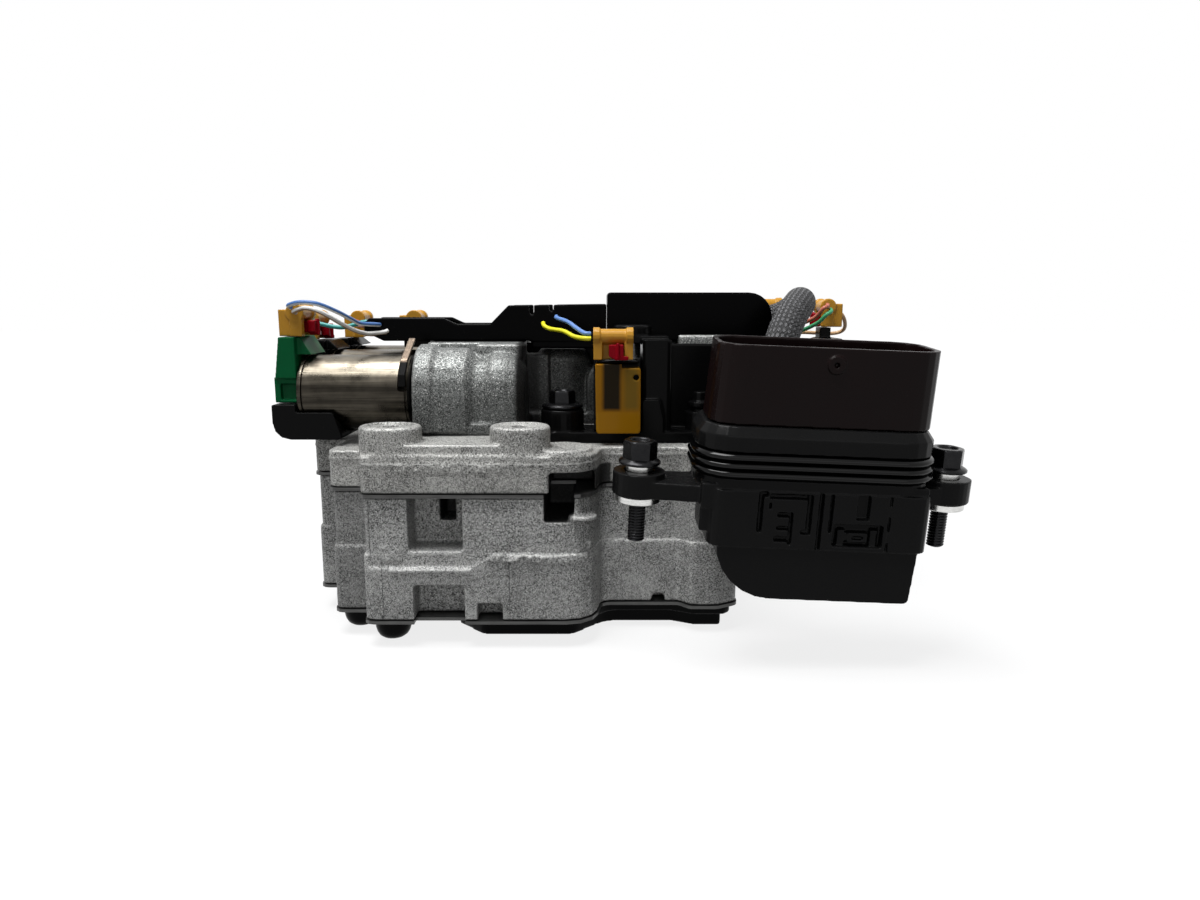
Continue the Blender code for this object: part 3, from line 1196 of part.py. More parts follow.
    inner = rounded(grown(rim_plan, WAIST_MARGIN + GAP), 5)
    levels = []
    pitch = (SEAL_Z[1] - SEAL_Z[0]) / SEAL_RIBS
    for rib in range(SEAL_RIBS):
        base = SEAL_Z[0] + rib * pitch
        for share, proud in ((0.0, 0.0), (0.22, 1.0), (0.60, 1.0)):
            levels.append((base + share * pitch, SEAL_BASE + SEAL_PROUD * proud))
    levels.append((SEAL_Z[1], SEAL_BASE))
    rings = [
        [(p[0], p[1], z) for p in rounded(grown(rim_plan, WAIST_MARGIN + GAP + out), 5)]
        for z, out in levels
    ]
    inner_low = [(p[0], p[1], SEAL_Z[0]) for p in inner]
    inner_high = [(p[0], p[1], SEAL_Z[1]) for p in inner]
    model("connector_seal", paints["rubber"], ring_skin([inner_low, *rings, inner_high]), parent=frame)

    for side, word in ((-1, "left"), (1, "right")):
        ear_x, ear_y, ear_low = ear_place(side)
        centre = (ear_x, ear_y, 0.0)
        bush_radius = M6_RADIUS + BUSH_WALL
        bush_low = ear_low - 0.0026
        bush_top = ear_low + EAR_THICKNESS + BUSH_PROUD
        bush = turned(
            [(M6_RADIUS + GAP, bush_low), (bush_radius + BUSH_COLLAR, bush_low),
             (bush_radius + BUSH_COLLAR, ear_low - GAP), (bush_radius, ear_low - GAP),
             (bush_radius, bush_top), (M6_RADIUS + GAP, bush_top)],
            centre, segments=18)
        model(f"connector_bush_{word}", paints["bush"], bush, parent=frame, smooth=True)
        seat = bush_top + GAP
        flange_bolt(f"connector_bolt_{word}", paints["bolt"], centre, seat + M6_HEAD, seat,
                    seat - M6_LENGTH, M6_FLANGE_RADIUS, M6_HEX, frame)
    return frame


def join_after(obj, shapes, parent):
    """Joins shapes to a piece after its cuts, in one union of shapes clear of each other."""
    gathered = bmesh.new()
    for shape in shapes:
        mesh = bpy.data.meshes.new("gather")
        shape.to_mesh(mesh)
        shape.free()
        gathered.from_mesh(mesh)
        bpy.data.meshes.remove(mesh)
    helper = add_object(f"{obj.name}_pins", gathered, None, parent)
    helper.hide_render = True
    helper.display_type = "WIRE"
    modifier = obj.modifiers.new("pins", "BOOLEAN")
    modifier.operation = "UNION"
    modifier.solver = "EXACT"
    modifier.object = helper


def ring_skin(sections):
    """A closed ring through sections, the last joined back to the first."""
    bm = bmesh.new()
    rings = [[bm.verts.new(p) for p in section] for section in sections]
    count = len(rings[0])
    for number, near in enumerate(rings):
        far = rings[(number + 1) % len(rings)]
        for index in range(count):
            after = (index + 1) % count
            bm.faces.new((near[index], near[after], far[after], far[index]))
    return finish_bmesh(bm)


def model_valves(paints):
    """The manual valve, and the pressure regulator with its spring and end plug."""
    land = MANUAL_RADIUS
    groove = MANUAL_RADIUS - 0.0026
    end = MANUAL_LENGTH
    profile = [
        (0, 0), (land, 0), (land, 0.012), (groove, 0.012), (groove, 0.028), (land, 0.028),
        (land, 0.042), (groove, 0.042), (groove, 0.060), (land, 0.060), (land, end - 0.0125),
        (0.0032, end - 0.0125), (0.0032, end - 0.0040), (0.0060, end - 0.0040), (0.0060, end), (0, end),
    ]
    frame = new_empty("manual_valve_slide", (MANUAL_X, depth(MANUAL_REST_DEPTH), MANUAL_Z))
    valve = turned(profile, (0, 0, 0), "Y", 16)
    model("manual_valve", paints["steel"], valve, parent=frame, smooth=True)

    land = REGULATOR_RADIUS
    groove = REGULATOR_RADIUS - 0.0020
    end = REGULATOR_LENGTH
    profile = [
        (0, 0), (land - 0.001, 0), (land, 0.001), (land, 0.010), (groove, 0.010), (groove, 0.018),
        (land, 0.018), (land, 0.026), (groove, 0.026), (groove, 0.032), (land, 0.032),
        (land, end), (0, end),
    ]
    frame = new_empty("regulator_slide", (REGULATOR_X, depth(REGULATOR_REST_DEPTH), REGULATOR_Z))
    spool = turned(profile, (0, 0, 0), "Y", 16)
    model("regulator_spool", paints["steel"], spool, parent=frame, smooth=True)

    start = depth(REGULATOR_REST_DEPTH + REGULATOR_LENGTH) + GAP + SPRING_WIRE
    coil_radius = REGULATOR_RADIUS - SPRING_WIRE - 0.0006
    length = SPRING_LENGTH - 2 * SPRING_WIRE
    steps = 12 * SPRING_TURNS
    points = []
    for step in range(steps + 1):
        turn = 2 * math.pi * SPRING_TURNS * step / steps
        points.append((REGULATOR_X + coil_radius * math.cos(turn), start + length * step / steps,
                       REGULATOR_Z + coil_radius * math.sin(turn)))
    spring = bpy.data.curves.new("regulator_spring", "CURVE")
    spring.dimensions = "3D"
    spring.bevel_depth = SPRING_WIRE
    spring.bevel_resolution = 0
    spring.use_fill_caps = True
    spline = spring.splines.new("POLY")
    spline.points.add(len(points) - 1)
    for point, place in zip(spline.points, points):
        point.co = (*place, 1.0)
    obj = bpy.data.objects.new("regulator_spring", spring)
    bpy.context.scene.collection.objects.link(obj)
    spring.materials.append(paints["steel"])

    plug_start = depth(REGULATOR_REST_DEPTH + REGULATOR_LENGTH) + SPRING_LENGTH + 2 * GAP
    plug = turned([(0, 0), (land, 0), (land, PLUG_LENGTH - 0.0008), (land - 0.0008, PLUG_LENGTH),
                   (0, PLUG_LENGTH)], (REGULATOR_X, plug_start, REGULATOR_Z), "Y", 16)
    model("regulator_plug", paints["casting"], plug, smooth=True)


def model_pressure_switch(paints):
    """A sealed switch behind the hood: round body on the housing, squared head, lead plug."""
    x, at = SWITCH_X, SWITCH_DEPTH
    base = DECK_TOP + GAP
    head_low = SWITCH_TOP - SWITCH_HEAD
    body = turned(
        [(0, base), (SWITCH_RADIUS, base), (SWITCH_RADIUS, head_low),
         (SWITCH_RADIUS - 0.0020, head_low + 0.003), (0, head_low + 0.003)],
        (x, depth(at), 0.0), segments=24)
    head = box((x - SWITCH_HEAD_X, x + SWITCH_HEAD_X),
               (depth(at - SWITCH_HEAD_Y), depth(at + SWITCH_HEAD_Y)), (head_low - 0.001, SWITCH_TOP))
    model("pressure_switch", paints["coil"], body, [head])
    frame = new_empty("pressure_switch_plug_frame", (x, depth(at - 0.0018), SWITCH_TOP + GAP + PLUG_DROP))
    model_plug("pressure_switch_plug", paints["plug"], frame)


def model_temperature_sensor(paints):
    """The oil sensor clipped behind the tray, its probe between two cans."""
    near = depth(TRAY_DEPTH[1]) + GAP
    between = depth((LEFT_BANK[1] + LEFT_BANK[2]) / 2)
    far = between + PROBE_RADIUS + 0.0005
    low = CAN_Z + CAN_RADIUS + 2 * GAP
    x_span = (SENSOR_X - SENSOR_HALF_WIDTH, SENSOR_X + SENSOR_HALF_WIDTH)
    block = box(x_span, (near, far), (low, BRIDGE_TOP))
    probe = rod(PROBE_RADIUS, CAN_Z, low + 0.001, (SENSOR_X, between, 0.0), segments=10)
    model("temperature_sensor", paints["coil"], block, [probe])
    place = (SENSOR_X - 0.0012, (near + far) / 2, BRIDGE_TOP + GAP + PLUG_DROP)
    frame = new_empty("temperature_sensor_plug_frame", place, (0.0, 0.0, 90.0))
    model_plug("temperature_sensor_plug", paints["plug"], frame)


def model_sleeve(material):
    connector = Vector((CONNECTOR_X, depth(CONNECTOR_DEPTH), CONNECTOR_Z))
    entry = Vector((SLEEVE_ENTRY[0], depth(SLEEVE_ENTRY[1]), SLEEVE_ENTRY[2]))
    points = [connector + Vector(step) for step in SLEEVE_NEAR]
    points += [entry + Vector(step) for step in SLEEVE_FAR]
    return tube("braided_sleeve", points, SLEEVE_RADIUS, material, rings=3, spacing=0.5)


def lead_places():
    """The places that the leads run between: the plugs, and corners of the tray and the hood."""
    places = {"front_plug": front_plug_place()}
    for number, (centre, rise, shift) in enumerate(zip(LEFT_BANK, LEFT_CAP_RISES, LEFT_PLUG_SHIFTS), 1):
        places[f"plug_{number}"] = plug_place(LEFT_MOUTH, -1, centre, CAN_Z, rise, shift)
    places["plug_4"] = plug_place(RIGHT_MOUTH, 1, RIGHT_BANK_DEPTH, CAN_Z + RIGHT_BANK_RISE,
                                  RIGHT_CAP_RISE + RIGHT_STALK)
    front = depth(TRAY_DEPTH[0])
    places["tray_left"] = (TRAY_ENDS[0], front, TRAY_FLOOR)
    places["tray_left_back"] = (TRAY_ENDS[0], depth(TRAY_DEPTH[1]), TRAY_FLOOR)
    places["tray_right"] = (TRAY_ENDS[1], front, TRAY_FLOOR)
    places["hood_right"] = (HOOD_ENDS[1], depth(HOOD_DEPTH[1]), TRAY_FLOOR)
    return places


def model_leads():
    places = lead_places()
    for name, (colour, start, near, end, far) in LEADS.items():
        points = [Vector(places[start]) + Vector(step) for step in near]
        points += [Vector(places[end]) + Vector(step) for step in far]
        tube(name, points, WIRE_RADIUS, new_material(name, colour, 0.4))


def build():
    clear_scene()
    cast = new_material("cast_aluminium", (0.55, 0.55, 0.54), 0.5, 0.9)
    steel = new_material("can_steel", (0.50, 0.47, 0.43), 0.35, 1.0)
    plate = new_material("plate_steel", (0.06, 0.06, 0.06), 0.4, 0.6)
    black = new_material("black_plastic", (0.012, 0.012, 0.013), 0.35)
    green = new_material("green_plastic", (0.0, 0.20, 0.07), 0.4)
    yellow = new_material("tan_plastic", (0.72, 0.45, 0.12), 0.4)
    red = new_material("red_plastic", (0.55, 0.01, 0.03), 0.35)
    amber = new_material("amber_plastic", (0.70, 0.32, 0.03), 0.3)
    brown = new_material("shroud_plastic", (0.035, 0.020, 0.018), 0.4)
    rubber = new_material("seal_rubber", (0.01, 0.01, 0.01), 0.5)
    bolt = new_material("bolt_steel", (0.03, 0.03, 0.03), 0.4, 0.8)
    bush = new_material("bush_aluminium", (0.75, 0.75, 0.74), 0.3, 1.0)
    braid = new_material("braid", (0.10, 0.10, 0.10), 0.7)

    model_bottom_cover(plate)
    model_lower_plate(plate)
    model_lower_body(cast)
    model_separator_plate(plate)
    model_upper_body(cast)
    model_stack_bolts(bolt)
    model_housing(cast)
    model_bracket(black)
    bolt_seat = COLLAR_BOSS_TOP + GAP
    flange_bolt("bracket_bolt", bolt, (COLLAR_X, depth(COLLAR_DEPTH), 0.0), bolt_seat + BRACKET_BOLT_HEAD,
                bolt_seat, SHELF_TOP + 2 * GAP, BRACKET_BOLT_FLANGE, BRACKET_BOLT_HEX)

    bank = {"can": steel, "cap": black, "plug": yellow, "lock": red}
    for number, (centre, rise, shift) in enumerate(zip(LEFT_BANK, LEFT_CAP_RISES, LEFT_PLUG_SHIFTS), 1):
        paints = dict(bank, cap=green) if number == 1 else bank
        model_bank_solenoid(number, paints, LEFT_MOUTH, -1, centre, CAN_Z, rise, shift)
    model_bank_solenoid(4, bank, RIGHT_MOUTH, 1, RIGHT_BANK_DEPTH, CAN_Z + RIGHT_BANK_RISE,
                        RIGHT_CAP_RISE, stalk=RIGHT_STALK)
    model_base(black, LEFT_MOUTH, LEFT_BANK[0], CAN_Z)
    model_strap(steel, LEFT_MOUTH, LEFT_BANK[0], CAN_Z)
    model_front_solenoid({"clear": amber, "coil": black, "plug": yellow, "lock": red})
    model_pressure_switch({"coil": black, "plug": yellow})
    model_temperature_sensor({"coil": black, "plug": yellow})
    model_tray(black)
    model_hood(black)
    model_connector({"shroud": brown, "body": black, "rubber": rubber, "bush": bush, "bolt": bolt})
    model_valves({"steel": steel, "casting": cast})
    model_sleeve(braid)
    model_leads()


build()
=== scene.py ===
"""Looks of the transmission valve body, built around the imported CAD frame. Metres, +Z up."""

import json
import math

import bmesh
import bpy
from mathutils import Euler, Matrix, Vector, noise


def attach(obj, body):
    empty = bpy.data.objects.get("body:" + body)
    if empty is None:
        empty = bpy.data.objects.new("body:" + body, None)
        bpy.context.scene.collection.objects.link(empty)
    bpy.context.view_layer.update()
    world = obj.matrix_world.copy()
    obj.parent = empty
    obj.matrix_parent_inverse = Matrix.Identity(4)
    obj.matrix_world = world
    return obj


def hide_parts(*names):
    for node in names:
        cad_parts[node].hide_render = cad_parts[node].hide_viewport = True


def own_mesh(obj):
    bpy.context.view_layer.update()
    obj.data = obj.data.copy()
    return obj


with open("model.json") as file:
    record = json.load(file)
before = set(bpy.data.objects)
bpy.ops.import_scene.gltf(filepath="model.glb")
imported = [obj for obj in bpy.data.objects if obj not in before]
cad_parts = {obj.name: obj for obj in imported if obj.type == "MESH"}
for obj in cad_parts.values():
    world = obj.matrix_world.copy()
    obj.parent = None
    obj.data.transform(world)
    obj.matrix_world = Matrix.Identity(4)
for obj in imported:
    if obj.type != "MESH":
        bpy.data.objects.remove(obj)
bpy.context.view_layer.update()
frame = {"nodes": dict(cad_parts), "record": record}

# Places and sizes that the pieces share with the castings and the connector
FRONT_Y = -0.062
CONNECTOR_PLACE = (Matrix.Translation((0.0650, FRONT_Y - 0.0110, 0.0635))
                   @ Euler((math.radians(3.5), math.radians(2.4), 0.0)).to_matrix().to_4x4())
SHROUD_X = (-0.0310, 0.0420)
SHROUD_Y = (-0.0110, 0.0195)
SHROUD_CORNER = 0.0090
BLOCK_FRONT = -0.0140
SEAL_Z = (0.0040, 0.0122)
M6_RADIUS = 0.0030
THREAD_PITCH = 0.0010
THREAD_DEPTH = 0.0005
CAN_RADIUS = 0.0145
CAN_SEAT = 0.0007
CAN_OUT = 0.0432
NOSE_RADIUS = 0.0095
NOSE_LENGTH = 0.0300
VALVE_HEIGHT = 0.033
REGULATOR_X = 0.012
REGULATOR_DEPTH = 0.0600
REGULATOR_LENGTH = 0.0400

# Light of the room: its walls and its ceiling
ROOM_LOW = (0.045, 0.045, 0.047)
ROOM_HIGH = (0.34, 0.35, 0.37)

BODY_OF = {member: body for body, members in frame["record"]["behaviour"]["bodies"].items()
           for member in members}


def depth(distance):
    """World Y of a point this far behind the front face of the castings."""
    return FRONT_Y + distance


# Shader building

FLOAT, VECTOR = "NodeSocketFloat", "NodeSocketVector"


def new_group(name, inputs, outputs):
    """An empty shader node group with (name, type, value) inputs and number outputs; and its ends."""
    group = bpy.data.node_groups.new(name, "ShaderNodeTree")
    for label, kind, value in inputs:
        socket = group.interface.new_socket(name=label, in_out="INPUT", socket_type=kind)
        socket.default_value = value
    for label in outputs:
        group.interface.new_socket(name=label, in_out="OUTPUT", socket_type=FLOAT)
    return group, group.nodes.new("NodeGroupInput"), group.nodes.new("NodeGroupOutput")


def is_socket(value):
    return isinstance(value, bpy.types.NodeSocket)


def feed(node, values):
    """Links each named input of a node to a socket, or sets it to a constant."""
    for label, value in values.items():
        if is_socket(value):
            node.id_data.links.new(value, node.inputs[label])
        else:
            node.inputs[label].default_value = value


def new_node(kind, values, **options):
    """A node with its options and inputs set, in the tree of the sockets that feed it."""
    tree = next(value.id_data for value in values.values() if is_socket(value))
    node = tree.nodes.new(kind)
    for option, value in options.items():
        setattr(node, option, value)
    feed(node, values)
    return node


def math_node(operation, *operands):
    """A Math node; each operand is a socket or a number. Returns the output socket."""
    return new_node("ShaderNodeMath", dict(enumerate(operands)), operation=operation).outputs[0]


def product(*factors):
    result = factors[0]
    for factor in factors[1:]:
        result = math_node("MULTIPLY", result, factor)
    return result


def vector_node(operation, *operands):
    return new_node("ShaderNodeVectorMath", dict(enumerate(operands)), operation=operation)


def part_of(vector, axis):
    """One coordinate of a vector socket."""
    return new_node("ShaderNodeSeparateXYZ", {0: vector}).outputs[axis]


def noise_node(vector, scale, detail=2.0, rough=0.5):
    return new_node("ShaderNodeTexNoise", {
        "Vector": vector, "Scale": scale, "Detail": detail, "Roughness": rough}).outputs["Fac"]


def ramp_node(fac, low, high, dark, light):
    """A two-stop ramp between two colours. Returns the colour socket."""
    node = new_node("ShaderNodeValToRGB", {"Fac": fac})
    for element, position, colour in zip(node.color_ramp.elements, (low, high), (dark, light)):
        element.position = position
        element.color = (*colour, 1)
    return node.outputs["Color"]


def range_node(value, low, high, to_low=0.0, to_high=1.0):
    return new_node("ShaderNodeMapRange", {
        "Value": value, "From Min": low, "From Max": high, "To Min": to_low,
        "To Max": to_high}).outputs["Result"]


def mix_colour(fac, first, second):
    """A colour mix; each of fac and the colours is a socket or a constant."""
    values = {index: (*value, 1) if isinstance(value, tuple) else value
              for index, value in ((0, fac), (6, first), (7, second))}
    return new_node("ShaderNodeMix", values, data_type="RGBA").outputs[2]


def bump_node(height, strength, distance):
    return new_node("ShaderNodeBump", {
        "Height": height, "Strength": strength, "Distance": distance}).outputs["Normal"]


def window_mask(place, x_span, z_span, soft):
    """1 inside a rectangle on the front of a piece, in X and Z, with a soft edge."""
    sides = []
    for axis, (low, high) in (("X", x_span), ("Z", z_span)):
        value = part_of(place, axis)
        sides += [range_node(value, low - soft, low + soft),
                  range_node(value, high - soft, high + soft, 1.0, 0.0)]
    return product(*sides)


def depth_mask(place, start, end):
    """0 at the first depth behind the front face and 1 from the second on."""
    return range_node(part_of(place, "Y"), depth(start), depth(end))


# Camera, lamps, world and floor

def make_camera():
    camera = bpy.data.objects.new("camera", bpy.data.cameras.new("camera"))
    bpy.context.scene.collection.objects.link(camera)
    camera.data.sensor_width = 36.0
    camera.data.lens = 25.5
    camera.location = (0.0, FRONT_Y - 0.290, 0.1235)
    camera.rotation_euler = (math.radians(80), 0.0, 0.0)
    camera.data.clip_start = 0.01
    camera.data.clip_end = 20.0
    bpy.context.scene.camera = camera
    bpy.context.scene.view_settings.view_transform = "Standard"


def make_lamp(name, place, target, size, power):
    data = bpy.data.lights.new(name, "AREA")
    data.shape = "RECTANGLE"
    data.size, data.size_y = size
    data.energy = power
    lamp = bpy.data.objects.new(name, data)
    bpy.context.scene.collection.objects.link(lamp)
    lamp.location = place
    lamp.rotation_euler = (Vector(target) - Vector(place)).to_track_quat("-Z", "Y").to_euler()


def backdrop_rays(tree):
    """1 for the rays that should meet the white backdrop: camera, glossy and transmission rays."""
    ray = tree.nodes.new("ShaderNodeLightPath").outputs
    seen = math_node("MAXIMUM", ray["Is Camera Ray"], ray["Is Glossy Ray"])
    return math_node("MAXIMUM", seen, ray["Is Transmission Ray"])


def make_world():
    """White behind the object and in its gloss, and a dim room with a paler ceiling as light."""
    world = bpy.data.worlds.new("studio")
    bpy.context.scene.world = world
    world.use_nodes = True
    tree = world.node_tree
    tree.nodes.clear()
    height = part_of(tree.nodes.new("ShaderNodeTexCoord").outputs["Generated"], "Z")
    tone = ramp_node(range_node(height, -1.0, 1.0), 0.45, 1.0, ROOM_LOW, ROOM_HIGH)
    room = new_node("ShaderNodeBackground", {"Color": tone})
    white = tree.nodes.new("ShaderNodeBackground")
    feed(white, {"Color": (1, 1, 1, 1)})
    mix = new_node("ShaderNodeMixShader", {
        0: backdrop_rays(tree), 1: room.outputs[0], 2: white.outputs[0]})
    feed(tree.nodes.new("ShaderNodeOutputWorld"), {"Surface": mix.outputs[0]})


def make_floor():
    """A pale floor: a plain coat that takes the shadow, and a glow that brings it up to white."""
    mesh = bpy.data.meshes.new("floor")
    mesh.from_pydata([(-3, -3, 0), (3, -3, 0), (3, 3, 0), (-3, 3, 0)], [], [(0, 1, 2, 3)])
    floor = bpy.data.objects.new("floor", mesh)
    floor.location.z = -0.0004
    bpy.context.scene.collection.objects.link(floor)
    material, shader, place = material_with("floor_white")
    tree = shader.id_data
    coat(shader, (0.16, 0.16, 0.16, 1), 0.9, level=0.0)
    away = vector_node("LENGTH", place).outputs["Value"]
    strength = product(range_node(away, 0.25, 1.00, 0.82, 1.0), backdrop_rays(tree))
    glow = new_node("ShaderNodeEmission", {"Strength": strength})
    both = new_node("ShaderNodeAddShader", {0: shader.outputs[0], 1: glow.outputs[0]})
    feed(tree.nodes["Material Output"], {"Surface": both.outputs[0]})
    mesh.materials.append(material)


# Effects that several materials share

def grain_group():
    """Sand-like grain of a die casting: a tone, bright specks and a height, from the place."""
    group, given, out = new_group("casting_grain", [("Place", VECTOR, (0, 0, 0))],
                                  ("Tone", "Specks", "Height"))
    place = given.outputs["Place"]
    coarse = noise_node(place, 1250.0, 2.0, 0.60)
    fine = noise_node(place, 2500.0, 2.0, 0.75)
    broad = noise_node(place, 48.0, 4.0, 0.58)
    specks = noise_node(place, 2050.0, 1.0, 0.5)
    tone = math_node("MULTIPLY_ADD", coarse, 0.50, product(fine, 0.66))
    feed(out, {
        "Tone": math_node("ADD", tone, product(broad, 0.30)),
        "Specks": range_node(specks, 0.60, 0.74),
        "Height": math_node("MULTIPLY_ADD", coarse, 0.65, product(fine, 0.35))})
    return group


def seam_group():
    """A thin wandering line at one height round a casting, where the halves of its mould met."""
    group, given, out = new_group(
        "mould_seam",
        [("Place", VECTOR, (0, 0, 0)), ("Level", FLOAT, 0.0), ("Width", FLOAT, 0.0003)], ("Line",))
    place = given.outputs["Place"]
    wander = noise_node(place, 120.0, 3.0, 0.6)
    level = math_node("MULTIPLY_ADD", wander, 0.0012, given.outputs["Level"])
    gap = math_node("SUBTRACT", part_of(place, "Z"), level)
    share = math_node("DIVIDE", math_node("ABSOLUTE", gap), given.outputs["Width"])
    line = math_node("MAXIMUM", math_node("SUBTRACT", 1.0, share), 0.0)
    broken = range_node(noise_node(place, 420.0, 2.0, 0.6), 0.36, 0.56)
    feed(out, {"Line": product(line, broken)})
    return group


def moulded_group():
    """Fine spark texture, faint dust and a slow change of tone of a moulded plastic."""
    group, given, out = new_group(
        "moulded_surface", [("Place", VECTOR, (0, 0, 0)), ("Scale", FLOAT, 1800.0)],
        ("Height", "Dust", "Tone"))
    place = given.outputs["Place"]
    feed(out, {
        "Height": noise_node(place, given.outputs["Scale"], 2.0, 0.6),
        "Dust": range_node(noise_node(place, 900.0, 3.0, 0.65), 0.66, 0.80),
        "Tone": noise_node(place, 60.0, 3.0, 0.5)})
    return group


def drawn_group():
    """Fine lines of drawn or turned metal along one axis, with stains."""
    group, given, out = new_group(
        "drawn_lines", [("Place", VECTOR, (0, 0, 0)), ("Stretch", VECTOR, (60, 3500, 3500))],
        ("Lines", "Stain", "Streaks"))
    place = given.outputs["Place"]
    for label, scale, detail in (("Lines", 1.0, 3.0), ("Streaks", 0.12, 4.0)):
        scaled = vector_node("MULTIPLY", place, given.outputs["Stretch"]).outputs[0]
        feed(out, {label: noise_node(scaled, scale, detail, 0.65)})
    feed(out, {"Stain": noise_node(place, 150.0, 4.0, 0.6)})
    return group


GRAIN = grain_group()
SEAM = seam_group()
MOULDED = moulded_group()
DRAWN = drawn_group()


# Materials

def coat(shader, colour, roughness, normal=None, level=0.5, metallic=0.0):
    """Sets a Principled shader; level is how much it shines."""
    feed(shader, {"Base Color": colour, "Roughness": roughness, "Specular IOR Level": level,
                        "Metallic": metallic})
    if normal is not None:
        feed(shader, {"Normal": normal})


def material_with(name):
    """A new material, its Principled shader and the place in object space."""
    material = bpy.data.materials.new(name)
    material.use_nodes = True
    tree = material.node_tree
    place = tree.nodes.new("ShaderNodeTexCoord").outputs["Object"]
    return material, tree.nodes["Principled BSDF"], place


def group_outputs(group, place, **values):
    """A shared effect placed in a material; returns its outputs."""
    tree = place.id_data
    node = tree.nodes.new("ShaderNodeGroup")
    node.node_tree = group
    feed(node, {"Place": place, **values})
    return node.outputs


def cast_material(name, level, dark, light, metallic, pockets=(), grooves=()):
    """Raw die-cast aluminium: bright edges, worn and with a painted highlight, painted shade in hollows, a
    mould seam, and painted shade in pockets, other given places and grooves.
    """
    material, shader, place = material_with(name)
    grain = group_outputs(GRAIN, place)
    seam = group_outputs(SEAM, place, Level=level)
    point = place.id_data.nodes.new("ShaderNodeNewGeometry").outputs["Pointiness"]
    # Bright edges: partly wear, partly a painted highlight along the edges
    worn_and_highlit = product(range_node(point, 0.510, 0.575), range_node(grain["Tone"], 0.5, 0.9, 0.3, 1.0))
    edge = math_node("MAXIMUM", worn_and_highlit, seam["Line"])
    # Painted shade: hollows darkened towards near black
    hollow_shade = range_node(point, 0.485, 0.40)
    colour = ramp_node(grain["Tone"], 0.57, 0.88, dark, light)
    colour = mix_colour(grain["Specks"], colour, (0.66, 0.66, 0.64))
    colour = mix_colour(product(edge, 0.70), colour, (0.62, 0.62, 0.60))
    colour = mix_colour(product(hollow_shade, 0.70), colour, (0.030, 0.030, 0.029))
    # Painted shade: pockets and the other given places darkened towards black
    for x_span, start, z_span, end, shade_share, soft in pockets:
        pocket_shade = product(window_mask(place, x_span, z_span, soft),
                       depth_mask(place, *start), depth_mask(place, *end), shade_share)
        colour = mix_colour(pocket_shade, colour, (0.004, 0.004, 0.004))
    # Painted shade: a dark line down each groove
    for x, z_span in grooves:
        line = product(window_mask(place, (x - 0.00012, x + 0.00012), z_span, 0.00016),
                       depth_mask(place, 0.012, 0.010), 0.85)
        colour = mix_colour(line, colour, (0.018, 0.018, 0.018))
    coat(shader, colour, range_node(grain["Tone"], 0.5, 0.95, 0.62, 0.34),
         bump_node(grain["Height"], 0.60, 0.0004), 0.30, metallic)
    return material


def plastic_material(name, colour, roughness, level, scale=1800.0, bump=0.06, dust=0.03):
    """A moulded plastic."""
    material, shader, place = material_with(name)
    surface = group_outputs(MOULDED, place, Scale=scale)
    varied = mix_colour(surface["Tone"], colour, tuple(min(1.0, c * 1.3) for c in colour))
    dusted = mix_colour(product(surface["Dust"], dust), varied, (0.30, 0.29, 0.27))
    rough = range_node(surface["Tone"], 0.3, 0.7, roughness * 0.85, roughness * 1.2)
    coat(shader, dusted, rough, bump_node(surface["Height"], bump, 0.0002), level)
    return material


def drawn_tone(drawn, lines, streaks, stain):
    """The lines, streaks and stains of drawn metal, summed in these shares."""
    tone = math_node("MULTIPLY_ADD", drawn["Lines"], lines, product(drawn["Streaks"], streaks))
    return math_node("ADD", tone, product(drawn["Stain"], stain))


def metal_material(name, light, dark, roughness, stretch, scratch=0.15, metallic=1.0):
    """Drawn, rolled or turned metal: lines, streaks and stains between a light and a dark tone."""
    material, shader, place = material_with(name)
    drawn = group_outputs(DRAWN, place, Stretch=stretch)
    tone = drawn_tone(drawn, 0.40, 0.45, 0.25)
    rough = range_node(drawn["Stain"], 0.3, 0.7, roughness * 0.8, roughness * 1.25)
    coat(shader, ramp_node(tone, 0.42, 0.68, dark, light), rough,
         bump_node(drawn["Lines"], scratch, 0.0001), metallic=metallic)
    return material


def can_material():
    """Brushed can steel, stained brown, darkened from a little above its axis downwards by painted shade,
    with the dark joint at the mouth of its tube.
    """
    material, shader, place = material_with("can_steel_fine")
    drawn = group_outputs(DRAWN, place, Stretch=(45, 1900, 1900))
    tone = drawn_tone(drawn, 0.34, 0.46, 0.30)
    colour = ramp_node(tone, 0.40, 0.74, (0.018, 0.016, 0.012), (0.350, 0.310, 0.245))
    # Painted shade: the can darkened from a little above its axis downwards
    height = part_of(place, "Z")
    lower_shade = product(range_node(height, 0.0990, 0.0925, 0.0, 0.92),
                   range_node(height, 0.0860, 0.0800, 1.0, 0.70),
                   range_node(drawn["Streaks"], 0.3, 0.7, 1.06, 0.86))
    colour = mix_colour(lower_shade, colour, (0.008, 0.007, 0.006))
    for span in ((-0.0712, -0.0660), (0.0520, 0.0552)):
        joint = product(window_mask(place, span, (0.0, 0.2), 0.0001), 0.97)
        colour = mix_colour(joint, colour, (0.003, 0.003, 0.003))
    coat(shader, colour, range_node(drawn["Stain"], 0.3, 0.7, 0.24, 0.36),
         bump_node(drawn["Lines"], 0.22, 0.0001), metallic=1.0)
    return material


def strap_material():
    """Heat-browned strap steel, with painted shade where it stands in the can's slot."""
    material, shader, place = material_with("strap_steel_fine")
    drawn = group_outputs(DRAWN, place, Stretch=(2500, 2500, 60))
    colour = ramp_node(drawn["Lines"], 0.3, 0.7, (0.075, 0.055, 0.040), (0.24, 0.185, 0.140))
    # Painted shade: the strap near black where it stands in the slot
    root = window_mask(place, (-0.09, -0.05), (0.080, 0.1012), 0.0004)
    coat(shader, mix_colour(root, colour, (0.003, 0.003, 0.003)), 0.36,
         bump_node(drawn["Lines"], 0.15, 0.0001), metallic=0.9)
    return material


